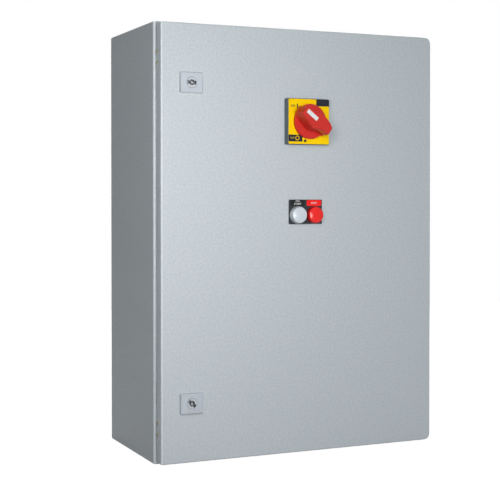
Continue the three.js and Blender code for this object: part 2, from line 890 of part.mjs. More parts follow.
// Latch frame on the collar's tube, and the contact block that it carries
function contactBlock() {
  const latchFront = sheet + seatGap;
  const latchRear = latchFront + latchDepth;
  const blockRear = latchRear + contactBlockDepth;
  const latch = frontPrism(rectangle(latchSize, latchSize, contactBlockCorner), latchRear, latchFront);
  const block = bentBlock({
    width: contactBlockWidth, height: contactBlockHeight, corner: contactBlockCorner,
    rear: blockRear, front: latchRear - overrun, rearBend: contactBlockCorner,
  });
  const tube = frontPrism(
    circle(collarTubeRadius + runningFit), collarTubeEnd + overrun, latchFront - overrun,
  );
  const plunger = frontPrism(
    circle(capStemRadius + runningFit), capStemEnd + buttonTravel + runningFit, latchFront - overrun,
  );
  const terminalRear = blockRear - contactTerminalDepth / 2;
  const terminals = fourCorners(contactTerminalSpread / 2, contactBlockHeight / 2).map(([x, z]) => box(
    x - contactTerminalWidth / 2, x + contactTerminalWidth / 2,
    terminalRear, terminalRear - contactTerminalDepth, z - contactTerminalNotch, z + contactTerminalNotch,
  ));
  return cut(joined(latch, block), tube, plunger, ...terminals);
}

// Switch-disconnector, drawn on the mounting plate's face with the shaft's axis at the centre

function switchBody() {
  const rear = -seatGap;
  const step = rear - switchStep;
  const front = -switchDepth;
  const foot = bentBlock({
    width: switchWidth, height: switchHeight, corner: switchCorner, rear, front: front + switchFaceDepth,
    frontBend: switchCorner / 2,
  });
  const face = bentBlock({
    width: switchWidth - switchStep, height: switchFaceHeight, corner: switchCorner,
    rear: front + switchFaceDepth + overrun, front, frontBend: switchCorner / 2,
  });
  const slots = [-1, 0, 1].flatMap((pole) => [-1, 1].map((end) => box(
    pole * switchPolePitch - switchTerminalWidth / 2, pole * switchPolePitch + switchTerminalWidth / 2,
    step, front + switchFaceDepth - overrun,
    end > 0 ? switchHeight / 2 - switchTerminalReach : -switchHeight / 2 - overrun,
    end > 0 ? switchHeight / 2 + overrun : switchTerminalReach - switchHeight / 2,
  )));
  const seat = frontPrism(circle(shaftSeatRadius), front + shaftSeatDepth, front - overrun);
  return cut(joined(foot, face), seat, ...slots);
}

function switchShaft() {
  const rear = shaftSeatDepth - switchDepth - runningFit;
  const tip = plateFace + shaftTipFromDoor - doorFront;
  const square = frontPrism(rectangle(shaftSquare, shaftSquare, shaftEdge), rear, tip);
  const collar = frontPrism(circle(shaftCollarRadius), rear, rear - shaftCollarLength);
  return joined(square, collar);
}

// Contactor, drawn on the mounting plate's face with its middle at the centre

function contactorBase() {
  const rear = -seatGap;
  const outside = joined(
    bentBlock({
      width: contactorWidth, height: contactorHeight, corner: contactorCorner,
      rear, front: -contactorBaseDepth,
    }),
    box(
      -contactorWidth / 2 + contactorFoot, contactorWidth / 2 - contactorFoot, rear, -contactorFootThickness,
      -contactorHeight / 2 - contactorFoot, contactorHeight / 2 + contactorFoot,
    ),
  );
  const inside = bentBlock({
    width: contactorWidth - 2 * contactorBaseWall, height: contactorHeight - 2 * contactorBaseWall,
    corner: contactorCorner / 2, rear: -contactorBaseWall, front: -(contactorBaseDepth + overrun),
  });
  return cut(outside, inside);
}

// E-shaped stack of laminations: a yoke, and three legs between two depths that overlap it
function laminatedCore(yokeRear, legRear, legFront) {
  const outer = coreWidth / 2 - coreLegWidth / 2;
  const block = (x, width, rear, front) => box(
    x - width / 2, x + width / 2, rear, front, -coreStack / 2, coreStack / 2,
  );
  return joined(
    block(0, coreWidth, yokeRear, yokeRear - coreYoke),
    block(0, coreCentreLegWidth, legRear, legFront),
    ...[-outer, outer].map((x) => block(x, coreLegWidth, legRear, legFront)),
  );
}

function contactorCore() {
  return laminatedCore(-coreSeat, overrun - coreSeat - coreYoke, -coreFace);
}

function contactorCoil() {
  const rear = -(coreSeat + coreYoke + coilPlay);
  const boreWidth = coreCentreLegWidth + 2 * coilPlay;
  const boreHeight = coreStack + 2 * coilPlay;
  const outline = rectangle(
    boreWidth + 2 * coilWallWidth, boreHeight + 2 * coilWallWidth, coilWallWidth / 2,
  );
  return frontPrism(outline, rear, rear - coilLength, [rectangle(boreWidth, boreHeight)]);
}

const coreFace = coreSeat + coreYoke + coreLegLength;
const armatureFront = coreFace + armatureGap + armatureLegLength + coreYoke;
const carrierRear = armatureFront + seatGap;
const carrierFront = carrierRear + carrierDepth;

function contactorArmature() {
  const poleFace = -(coreFace + armatureGap);
  const yokeRear = poleFace - armatureLegLength;
  return laminatedCore(yokeRear, poleFace, yokeRear - overrun);
}

// Plastic carrier in front of the armature, with three bridging contacts and the indicator's stem
function contactorCarrier() {
  const bar = bentBlock({
    width: carrierWidth, height: carrierHeight, corner: carrierCorner,
    rear: -carrierRear, front: -carrierFront,
  });
  const middle = -(carrierRear + carrierDepth / 2);
  const bridges = [-1, 0, 1].map((pole) => box(
    pole * polePitch - bridgeWidth / 2, pole * polePitch + bridgeWidth / 2, middle, middle - bridgeThickness,
    -bridgeHeight / 2, bridgeHeight / 2,
  ));
  const stem = box(
    -carrierStemWidth / 2, carrierStemWidth / 2, overrun - carrierFront, carrierTravel - contactorDepth,
    -carrierStemHeight / 2, carrierStemHeight / 2,
  );
  const indicator = bentBlock({
    width: indicatorWidth, height: indicatorHeight, corner: indicatorCorner,
    rear: carrierTravel + overrun - contactorDepth, front: -(contactorDepth + indicatorProud),
  });
  return joined(bar, stem, indicator, ...bridges);
}

function contactorHousing() {
  const rear = -(contactorBaseDepth + seatGap);
  const body = bentBlock({
    width: contactorWidth, height: contactorHeight, corner: contactorCorner, rear, front: -contactorShoulder,
    frontBend: contactorCorner / 2,
  });
  const head = bentBlock({
    width: contactorHeadWidth, height: contactorHeadHeight, corner: contactorCorner,
    rear: overrun - contactorShoulder, front: -contactorDepth, frontBend: contactorCorner / 2,
  });
  const play = 2 * runningFit;
  const room = (x, width, height, roomRear, roomFront) => box(
    x - width / 2 - play, x + width / 2 + play, roomRear, roomFront, -(height / 2 + play), height / 2 + play,
  );
  const roomRear = rear + overrun;
  const roomFront = -(carrierFront + play);
  const stemEnd = carrierTravel - contactorDepth;
  const rooms = [
    room(0, coreWidth, coreStack, roomRear, -(carrierRear + play)),
    room(0, carrierWidth, carrierHeight, roomRear, roomFront),
    ...[-1, 0, 1].map((pole) => room(pole * polePitch, bridgeWidth, bridgeHeight, roomRear, roomFront)),
    room(0, carrierStemWidth, carrierStemHeight, -carrierFront, stemEnd - play),
    room(0, indicatorWidth, indicatorHeight, stemEnd, -(contactorDepth + overrun)),
  ];
  const slots = [-1, 0, 1].flatMap((pole) => [-1, 1].map((end) => box(
    pole * polePitch - poleSlotWidth / 2, pole * polePitch + poleSlotWidth / 2, -poleSlotRear, -poleSlotFront,
    end > 0 ? contactorHeight / 2 - poleSlotReach : -contactorHeight / 2 - overrun,
    end > 0 ? contactorHeight / 2 + overrun : poleSlotReach - contactorHeight / 2,
  )));
  return cut(joined(body, head), ...rooms, ...slots);
}

// Overload relay, drawn on the mounting plate's face with its middle at the centre

function overloadBody() {
  const rear = -seatGap;
  const body = bentBlock({
    width: overloadWidth, height: overloadHeight, corner: overloadCorner, rear,
    front: overloadFaceDepth - overloadDepth, frontBend: overloadCorner / 2,
  });
  const face = bentBlock({
    width: overloadWidth - 2 * overloadFaceDepth, height: overloadFaceHeight, corner: overloadCorner,
    rear: overloadFaceDepth - overloadDepth + overrun, front: -overloadDepth, frontBend: overloadCorner / 2,
  });
  const pinY = -(poleSlotRear + poleSlotFront) / 2;
  const pins = [-1, 0, 1].map((pole) => box(
    pole * polePitch - busPinWidth / 2, pole * polePitch + busPinWidth / 2,
    pinY + busPinThickness / 2, pinY - busPinThickness / 2,
    overloadHeight / 2 - overrun, overloadHeight / 2 + overloadGap + busPinReach,
  ));
  const slots = [-1, 0, 1].map((pole) => box(
    pole * polePitch - poleSlotWidth / 2, pole * polePitch + poleSlotWidth / 2,
    overrun - poleSlotRear, -poleSlotFront,
    -overloadHeight / 2 - overrun, poleSlotReach - overloadHeight / 2,
  ));
  const resetBore = frontPrism(
    circle(resetRadius + runningFit, resetX), resetDepth + resetTravel + runningFit - overloadDepth,
    -(overloadDepth + overrun),
  );
  const dialSeat = frontPrism(
    circle(dialRadius + runningFit), dialDepth + runningFit - overloadDepth, -(overloadDepth + overrun),
  );
  return cut(joined(body, face, ...pins), resetBore, dialSeat, ...slots);
}

function resetButton() {
  const rear = resetDepth - overloadDepth;
  const front = -(overloadDepth + resetProud);
  return turnedOnY([
    [0, rear],
    [resetRadius, rear],
    [resetRadius, front + runningFit],
    [resetRadius - runningFit, front],
    [0, front],
  ], holeSides);
}

function currentDial() {
  const rear = dialDepth - overloadDepth;
  const front = -(overloadDepth + dialProud);
  const disc = frontPrism(circle(dialRadius, 0, 0, roundSides), rear, front);
  const slot = rectangle(2 * dialRadius + overrun, dialSlotWidth);
  return cut(disc, frontPrism(slot, front + dialSlotDepth, front - overrun));
}

// Top-hat rail and what snaps on it, drawn on the mounting plate's face with the rail's middle at the centre

function mountingRail() {
  const brim = railHeight / 2;
  const crown = railCrown / 2;
  const rear = -seatGap;
  const front = -railDepth;
  const outline = polygon(
    [rear, -crown], [rear, crown], [front + railThickness, crown], [front + railThickness, brim],
    [front, brim], [front, crown - railThickness], [rear - railThickness, crown - railThickness],
    [rear - railThickness, railThickness - crown], [front, railThickness - crown], [front, -brim],
    [front + railThickness, -brim], [front + railThickness, -crown],
  );
  return sidePrism(outline, railLeft, railRight);
}

// Side profile of a body that hooks over both brims of the rail
function snapOnProfile(height, shoulderHeight, depth, faceDepth) {
  const rear = -(railDepth - breakerBehindRail);
  const brim = railHeight / 2 + railFit;
  const hook = railCrown / 2 + 2 * railFit + railThickness;
  const brimRear = -(railDepth - railThickness - railFit);
  const front = -(railDepth + railFit);
  return polygon(
    [rear, height / 2], [-depth + faceDepth, height / 2], [-depth + faceDepth, shoulderHeight / 2],
    [-depth, shoulderHeight / 2], [-depth, -shoulderHeight / 2], [-depth + faceDepth, -shoulderHeight / 2],
    [-depth + faceDepth, -height / 2], [rear, -height / 2],
    [rear, -hook], [brimRear, -hook], [brimRear, -brim], [front, -brim],
    [front, brim], [brimRear, brim], [brimRear, hook], [rear, hook],
  );
}

function breakerBody() {
  const profile = snapOnProfile(breakerHeight, breakerFaceHeight, breakerDepth, breakerFaceDepth);
  const body = sidePrism(profile, -breakerWidth / 2, breakerWidth / 2);
  const axisY = toggleRadius / 2 - breakerDepth;
  const roomHalf = toggleWidth / 2 + runningFit;
  const room = sidePrism(circle(toggleRadius + runningFit, axisY, 0), -roomHalf, roomHalf);
  const screwHoles = [-1, 1].map((end) => frontPrism(
    circle(terminalFunnelRadius, 0, (end * breakerScrewSpread) / 2, pinSides),
    breakerFaceDepth + terminalFunnelDepth - breakerDepth, -breakerDepth,
  ));
  return cut(body, room, ...screwHoles);
}

function breakerToggle() {
  const drum = sidePrism(circle(toggleRadius), -toggleWidth / 2, toggleWidth / 2);
  const lever = sidePrism(
    polygon(
      [0, -toggleLeverThickness / 2], [-toggleLever, -toggleLeverThickness / 2],
      [-toggleLever, toggleLeverThickness / 2], [0, toggleLeverThickness / 2],
    ),
    -toggleWidth / 2, toggleWidth / 2,
  );
  return joined(drum, lever);
}

function terminalBlock() {
  const profile = snapOnProfile(terminalHeight, terminalTopHeight, terminalDepth, terminalShoulderDepth);
  const body = sidePrism(profile, -terminalWidth / 2, terminalWidth / 2);
  const screwHoles = [-1, 1].map((end) => frontPrism(
    circle(terminalFunnelRadius, 0, (end * terminalScrewSpread) / 2, pinSides),
    terminalFunnelDepth - terminalDepth, -(terminalDepth + overrun),
  ));
  return cut(body, ...screwHoles);
}

// Slotted duct, open to the front, and its snap-on cover

function wiringDuct() {
  const half = ductHeight / 2;
  const front = -ductDepth;
  const rear = -seatGap;
  const channel = sidePrism(
    polygon(
      [rear, -half], [rear, half], [front, half], [front, half - ductWall],
      [rear - ductWall, half - ductWall], [rear - ductWall, ductWall - half],
      [front, ductWall - half], [front, -half],
    ),
    -ductLength / 2, ductLength / 2,
  );
  const count = Math.floor((ductLength - ductSlotPitch) / ductSlotPitch);
  const slots = Array.from({ length: count }, (_, i) => {
    const x = (i - (count - 1) / 2) * ductSlotPitch;
    return box(
      x - ductSlotWidth / 2, x + ductSlotWidth / 2, ductSlotDepth - ductDepth, front - overrun,
      -half - overrun, half + overrun,
    );
  });
  return cut(channel, ...slots);
}

function ductCover() {
  const inner = ductHeight / 2 + runningFit;
  const outer = inner + ductCoverWall;
  const rear = -(ductDepth + seatGap);
  return sidePrism(
    polygon(
      [rear - ductCoverWall, -outer], [rear - ductCoverWall, outer], [rear + ductCoverLip, outer],
      [rear + ductCoverLip, inner], [rear, inner], [rear, -inner], [rear + ductCoverLip, -inner],
      [rear + ductCoverLip, -outer],
    ),
    -ductLength / 2, ductLength / 2,
  );
}

// Copper bar on two posts
function earthBar() {
  const rear = -earthPostHeight;
  const count = Math.floor(earthLength / earthHolePitch) - 1;
  const holes = Array.from({ length: count }, (_, i) => circle(
    earthHoleRadius, (i - (count - 1) / 2) * earthHolePitch, 0, pinSides / 2,
  ));
  const bar = frontPrism(rectangle(earthLength, earthHeight), rear, rear - earthThickness, holes);
  const postX = earthLength / 2 - earthPostRadius;
  const posts = [-postX, postX].map(
    (x) => frontPrism(circle(earthPostRadius, x, 0, pinSides), -seatGap, rear - overrun),
  );
  return joined(bar, ...posts);
}

// Insulated conductor that leaves the switch's lower terminal downwards and enters the contactor's upper one
function powerConductor(pole) {
  const top = handleHeight - switchHeight / 2 + switchTerminalReach - conductorEndGap;
  const bottom = contactorZ + contactorHeight / 2 - poleSlotReach + conductorEndGap;
  const switchY = -(switchStep + seatGap + conductorRadius + switchTerminalWidth / 2);
  const contactorY = -(poleSlotRear + poleSlotFront) / 2;
  const from = controlsX + pole * switchPolePitch;
  const to = pole * polePitch;
  const path = new THREE.CubicBezierCurve3(
    new THREE.Vector3(from, switchY, top),
    new THREE.Vector3(from, switchY, top - (top - bottom) / 2),
    new THREE.Vector3(to, contactorY, bottom + (top - bottom) / 2),
    new THREE.Vector3(to, contactorY, bottom),
  );
  const section = new THREE.Shape(circle(conductorRadius, 0, 0, conductorSides));
  const geometry = new THREE.ExtrudeGeometry(section, {
    steps: conductorSteps, extrudePath: path, bevelEnabled: false,
  });
  return solid(geometry);
}

// Materials

function finish(colour, roughness, metalness) {
  return new THREE.MeshStandardMaterial({ color: colour, roughness, metalness });
}

const paint = finish(0xb9c0c4, 0.55, 0.1);
const zincPlated = finish(0xb4b8ba, 0.35, 0.85);
const rubber = finish(0x2b2d2f, 0.9, 0);
const steel = finish(0x9aa0a4, 0.4, 0.9);
const darkPlastic = finish(0x39434a, 0.5, 0);
const yellowPlastic = finish(0xffd400, 0.45, 0);
const redPlastic = finish(0xc92b2a, 0.4, 0);
const whitePlastic = finish(0xd5dde2, 0.3, 0);
const blackPlastic = finish(0x24282b, 0.5, 0);
const greyPlastic = finish(0x8d9498, 0.55, 0);
const creamPlastic = finish(0xd9d6cb, 0.55, 0);
const copper = finish(0xb87345, 0.35, 0.9);
const copperWire = finish(0x9c4f22, 0.5, 0.4);
const bluePlastic = finish(0x2f5fa3, 0.45, 0);

// Assembly

const starter = new THREE.Group();

place(starter, "enclosure_shell", enclosureShell(), paint);
place(starter, "gland_gasket", glandFrame(
  floorTop + seatGap, floorTop + seatGap + glandGasketThickness, true,
), rubber);
place(starter, "gland_plate", glandFrame(
  floorTop + 2 * seatGap + glandGasketThickness,
  floorTop + 2 * seatGap + glandGasketThickness + glandPlateThickness, false,
), paint);
place(starter, "mounting_plate", mountingPlate(), zincPlated);

for (const [side, name] of [[1, "upper"], [-1, "lower"]]) {
  const hinge = groupAt(starter, hingeX, hingeY, side * hingeHeight);
  place(hinge, name + "_hinge_leaf", hingeLeaf(), steel);
  place(hinge, name + "_hinge_pin", hingePin(), steel);
  place(hinge, name + "_hinge_block", hingeBlock(), zincPlated);
}

const door = groupAt(starter, 0, -doorFront, 0);
place(door, "door_panel", doorPanel(), paint);
place(door, "door_gasket", doorGasket(), rubber);

for (const [side, name, bitTurn] of [[1, "upper", upperBitTurn], [-1, "lower", lowerBitTurn]]) {
  const lock = groupAt(door, lockX, 0, side * lockHeight);
  place(lock, name + "_lock_housing", lockHousing(), paint);
  place(lock, name + "_lock_nut", lockNut(), zincPlated);
  place(lock, name + "_lock_cam", lockCam(), steel);
  const insert = place(lock, name + "_lock_insert", lockInsert(), steel);
  insert.rotation.y = -THREE.MathUtils.degToRad(bitTurn);
}

const handle = groupAt(door, controlsX, 0, handleHeight);
place(handle, "handle_housing", handleHousing(), darkPlastic);
place(handle, "handle_nut", handleNut(), blackPlastic);
place(handle, "handle_face_plate", facePlate(), yellowPlastic);
place(handle, "handle_socket", handleSocket(), blackPlastic);
place(handle, "handle_knob", handleKnob(), redPlastic).rotation.y = gripAngle;

for (const [side, name, colour] of [[-1, "start", whitePlastic], [1, "stop", redPlastic]]) {
  const button = groupAt(door, controlsX + (side * buttonPitch) / 2, 0, buttonHeight);
  place(button, name + "_legend_holder", legendHolder(), darkPlastic);
  place(button, name + "_button_collar", buttonCollar(), colour);
  place(button, name + "_button_cap", buttonCap(), colour);
  place(button, name + "_contact_block", contactBlock(), greyPlastic);
}

const plate = groupAt(starter, 0, -plateFace, 0);
place(plate, "switch_body", switchBody(), greyPlastic, [controlsX, 0, handleHeight]);
place(plate, "switch_shaft", switchShaft(), steel, [controlsX, 0, handleHeight]);

const contactor = groupAt(plate, 0, 0, contactorZ);
place(contactor, "contactor_base", contactorBase(), blackPlastic);
place(contactor, "contactor_core", contactorCore(), steel);
place(contactor, "contactor_coil", contactorCoil(), copperWire);
place(contactor, "contactor_armature", contactorArmature(), steel);
place(contactor, "contactor_carrier", contactorCarrier(), creamPlastic);
place(contactor, "contactor_housing", contactorHousing(), creamPlastic);

const overload = groupAt(plate, 0, 0, overloadZ);
place(overload, "overload_body", overloadBody(), darkPlastic);
place(overload, "overload_reset", resetButton(), bluePlastic, [resetX, 0, 0]);
place(overload, "overload_dial", currentDial(), whitePlastic);

const rail = groupAt(plate, 0, 0, railZ);
place(rail, "mounting_rail", mountingRail(), zincPlated);
const breakerX = railLeft + breakerFromRailEnd;
place(rail, "breaker_body", breakerBody(), whitePlastic, [breakerX, 0, 0]);
const toggle = place(
  rail, "breaker_toggle", breakerToggle(), blackPlastic, [breakerX, toggleRadius / 2 - breakerDepth, 0],
);
toggle.rotation.x = -THREE.MathUtils.degToRad(toggleTurn);
for (let i = 0; i < terminalCount; i++) {
  const x = railLeft + terminalsFromRailEnd + i * (terminalWidth + terminalGap);
  place(rail, "terminal_" + (i + 1), terminalBlock(), greyPlastic, [x, 0, 0]);
}

place(plate, "wiring_duct", wiringDuct(), greyPlastic, [0, 0, ductZ]);
place(plate, "duct_cover", ductCover(), greyPlastic, [0, 0, ductZ]);
place(plate, "earth_bar", earthBar(), copper, [earthX, 0, railZ]);

[-1, 0, 1].forEach((pole, i) => {
  place(plate, "power_conductor_" + (i + 1), powerConductor(pole), blackPlastic);
});

export default starter;
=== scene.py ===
"""Looks of a wall-mounted magnetic motor starter: grey steel enclosure, red and yellow main-switch handle,
START and STOP buttons, and the devices on its mounting plate. Metres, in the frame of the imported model."""

import json
import math

import bmesh
import bpy
from mathutils import Matrix, Vector


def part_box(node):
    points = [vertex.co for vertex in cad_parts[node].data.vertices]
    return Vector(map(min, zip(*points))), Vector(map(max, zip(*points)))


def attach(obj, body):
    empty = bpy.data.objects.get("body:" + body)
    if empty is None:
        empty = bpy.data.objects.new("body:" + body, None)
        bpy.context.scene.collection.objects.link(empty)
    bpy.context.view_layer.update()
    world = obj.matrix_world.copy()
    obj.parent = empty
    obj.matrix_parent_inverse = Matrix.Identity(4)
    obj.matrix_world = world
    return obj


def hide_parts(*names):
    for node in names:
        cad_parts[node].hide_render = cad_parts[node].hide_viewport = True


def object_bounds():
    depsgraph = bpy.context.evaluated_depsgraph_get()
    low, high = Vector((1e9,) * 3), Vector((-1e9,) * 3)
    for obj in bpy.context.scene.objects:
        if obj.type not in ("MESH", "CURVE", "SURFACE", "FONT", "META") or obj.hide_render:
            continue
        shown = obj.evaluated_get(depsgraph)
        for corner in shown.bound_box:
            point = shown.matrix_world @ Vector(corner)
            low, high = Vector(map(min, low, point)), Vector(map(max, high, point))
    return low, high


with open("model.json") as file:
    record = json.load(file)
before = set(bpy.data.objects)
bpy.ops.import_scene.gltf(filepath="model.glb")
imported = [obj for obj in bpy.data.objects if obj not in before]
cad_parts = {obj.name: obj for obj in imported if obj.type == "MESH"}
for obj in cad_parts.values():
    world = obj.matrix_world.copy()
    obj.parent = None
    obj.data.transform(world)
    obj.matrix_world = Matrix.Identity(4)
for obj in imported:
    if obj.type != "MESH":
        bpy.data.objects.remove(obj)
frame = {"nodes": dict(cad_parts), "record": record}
cad_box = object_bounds()

MM = 0.001

# Places on the object
BOX_WIDTH = 0.500
DOOR_FRONT = -0.250
DOOR_INSET = 0.0035
LOCK_PLATE = 0.005
HINGE_Z = 0.292
CONTROLS_X = 0.0042
HANDLE_Z = 0.1954
FACE_PLATE_FRONT = DOOR_FRONT - 0.0151
GRIP_FRONT = DOOR_FRONT - 0.0469
GRIP_TURN = math.radians(38)
BUTTON_PITCH = 0.030
HOLDER_FRONT = DOOR_FRONT - 0.003

# Camera of the photograph, fitted to the enclosure's outlines
CAMERA_AT = Vector((-0.8745, -1.9920, 0.0758))
CAMERA_YAW = math.radians(24.118)
CAMERA_PITCH = math.radians(-0.764)
CAMERA_CLIP = 0.05
FOCAL_PIXELS = 1186.8
PHOTO_SIZE = 500.0
PRINCIPAL_POINT = (250.03, 210.88)
SENSOR = 36.0

# Each lamp's name, place, target, diameter, watts and colour
LAMPS = (
    ("near_left", (-0.43, -0.9, 0.25), (-0.05, -0.25, 0.0), 0.35, 3.0, (1.0, 0.97, 0.94)),
    ("front", (-0.1, -2.3, -0.1), (-0.05, -0.25, 0.0), 0.9, 22.2, (1.0, 0.99, 0.98)),
    ("behind", (1.7, 1.3, 0.9), (0.1, -0.1, 0.0), 1.6, 36, (0.9, 0.96, 1.0)),
    ("above", (0.3, 0.9, 2.0), (0.0, -0.05, 0.2), 1.2, 24, (1, 1, 1)),
    ("warm_bounce", (-1.6, -0.3, -0.3), (-0.25, -0.1, -0.3), 0.3, 0.02, (1.0, 0.75, 0.6)),
)

# Light from the world, and the floor: its reach to the front and the sides, and behind the part
FILL_COLOUR = (0.62, 0.83, 0.95, 1)
FILL_STRENGTH = 0.105
FLOOR_REACH = 2.4
FLOOR_BEHIND = 2.2
FLOOR_COLOUR = (0.26, 0.25, 0.24, 1)
FLOOR_GLOW = 0.97

# Painted highlight on the lock side, paler paint for the light that the left bends catch: where it fades out
# and where it is full, from the left end of the box, how far back it reaches, and how pale it is painted at
# shares of that depth: front bend, door's return, rim's bend
HIGHLIGHT_FADES = (6.2 * MM, 5.4 * MM)
HIGHLIGHT_DEPTH = 30 * MM
RETURN_HIGHLIGHT = 0.95
HIGHLIGHT_STOPS = ((0.06, 1), (0.10, RETURN_HIGHLIGHT), (0.76, RETURN_HIGHLIGHT), (0.80, 1), (0.90, 1), (0.95, 0))

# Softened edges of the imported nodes: faces closer to flat than one angle merge, edges past the other soften
MERGE_DISTANCE = 1e-6
FLAT_ANGLE = math.radians(1.0)
SHARP_ANGLE = math.radians(34)
EDGE_SEGMENTS = 2
FLAT_WEIGHT = 90

# Printed letters and marks
LETTER_DEPTH = 0.03 * MM
LETTER_STROKE_GAIN = 0.02
RING_LIFT = 0.04 * MM
MARK_LIFT = 0.06 * MM

# Devices on the mounting plate
POLES = (-1, 0, 1)
SIDES = (-1, 1)
SWITCH_PITCH = 31 * MM
CONTACTOR_PITCH = 36 * MM


# Scene

def make_camera():
    data = bpy.data.cameras.new("camera")
    data.sensor_width = SENSOR
    data.lens = FOCAL_PIXELS / PHOTO_SIZE * SENSOR
    data.shift_x = (PHOTO_SIZE / 2 - PRINCIPAL_POINT[0]) / PHOTO_SIZE
    data.shift_y = (PRINCIPAL_POINT[1] - PHOTO_SIZE / 2) / PHOTO_SIZE
    data.clip_start = CAMERA_CLIP
    camera = bpy.data.objects.new("camera", data)
    bpy.context.scene.collection.objects.link(camera)
    level = Vector((math.sin(CAMERA_YAW), math.cos(CAMERA_YAW), 0))
    right = Vector((math.cos(CAMERA_YAW), -math.sin(CAMERA_YAW), 0))
    forward = level * math.cos(CAMERA_PITCH) + Vector((0, 0, 1)) * math.sin(CAMERA_PITCH)
    up = right.cross(forward)
    camera.matrix_world = Matrix.Translation(CAMERA_AT) @ Matrix((right, up, -forward)).transposed().to_4x4()
    bpy.context.scene.camera = camera


def make_light(name, place, target, size, power, colour):
    data = bpy.data.lights.new(name, "AREA")
    data.shape = "DISK"
    data.size = size
    data.energy = power
    data.color = colour
    light = bpy.data.objects.new(name, data)
    light.location = place
    light.rotation_euler = (Vector(target) - Vector(place)).to_track_quat("-Z", "Y").to_euler()
    bpy.context.scene.collection.objects.link(light)


def seen_directly(nodes, links):
    """One for the rays that show the background: from the camera, or by way of a gloss or glass."""
    path = nodes.new("ShaderNodeLightPath")
    seen = path.outputs["Is Camera Ray"]
    for kind in ("Is Glossy Ray", "Is Transmission Ray"):
        either = nodes.new("ShaderNodeMath")
        either.operation = "MAXIMUM"
        links.new(seen, either.inputs[0])
        links.new(path.outputs[kind], either.inputs[1])
        seen = either.outputs[0]
    return seen


def make_stage():
    low = cad_box[0][2]
    corners = [
        (-FLOOR_REACH, -FLOOR_REACH, low), (FLOOR_REACH, -FLOOR_REACH, low),
        (FLOOR_REACH, FLOOR_BEHIND, low), (-FLOOR_REACH, FLOOR_BEHIND, low),
    ]
    mesh = bpy.data.meshes.new("floor")
    mesh.from_pydata(corners, [], [(0, 1, 2, 3)])
    floor = bpy.data.objects.new("floor", mesh)
    bpy.context.scene.collection.objects.link(floor)
    material = bpy.data.materials.new("pale_floor")
    material.use_nodes = True
    nodes, links = material.node_tree.nodes, material.node_tree.links
    nodes.clear()
    glow = nodes.new("ShaderNodeEmission")
    glow.inputs["Strength"].default_value = FLOOR_GLOW
    matte = nodes.new("ShaderNodeBsdfDiffuse")
    matte.inputs["Color"].default_value = FLOOR_COLOUR
    pale = nodes.new("ShaderNodeAddShader")
    mix = nodes.new("ShaderNodeMixShader")
    out = nodes.new("ShaderNodeOutputMaterial")
    links.new(matte.outputs[0], pale.inputs[0])
    links.new(glow.outputs[0], pale.inputs[1])
    links.new(seen_directly(nodes, links), mix.inputs[0])
    links.new(matte.outputs[0], mix.inputs[1])
    links.new(pale.outputs[0], mix.inputs[2])
    links.new(mix.outputs[0], out.inputs["Surface"])
    mesh.materials.append(material)


def make_world():
    world = bpy.data.worlds.new("studio")
    bpy.context.scene.world = world
    world.use_nodes = True
    nodes, links = world.node_tree.nodes, world.node_tree.links
    nodes.clear()
    fill = nodes.new("ShaderNodeBackground")
    fill.inputs["Color"].default_value = FILL_COLOUR
    fill.inputs["Strength"].default_value = FILL_STRENGTH
    white = nodes.new("ShaderNodeBackground")
    white.inputs["Color"].default_value = (1, 1, 1, 1)
    mix = nodes.new("ShaderNodeMixShader")
    out = nodes.new("ShaderNodeOutputWorld")
    links.new(seen_directly(nodes, links), mix.inputs[0])
    links.new(fill.outputs[0], mix.inputs[1])
    links.new(white.outputs[0], mix.inputs[2])
    links.new(mix.outputs[0], out.inputs["Surface"])


# Materials

def linear(red, green, blue):
    """Scene colour of an sRGB colour given in 0 to 255."""
    def one(value):
        value /= 255
        return value / 12.92 if value <= 0.04045 else ((value + 0.055) / 1.055) ** 2.4
    return one(red), one(green), one(blue), 1


def shaded(colour, factor):
    """A colour made darker or paler by a factor."""
    return tuple(min(1.0, channel * factor) for channel in colour[:3]) + (1,)


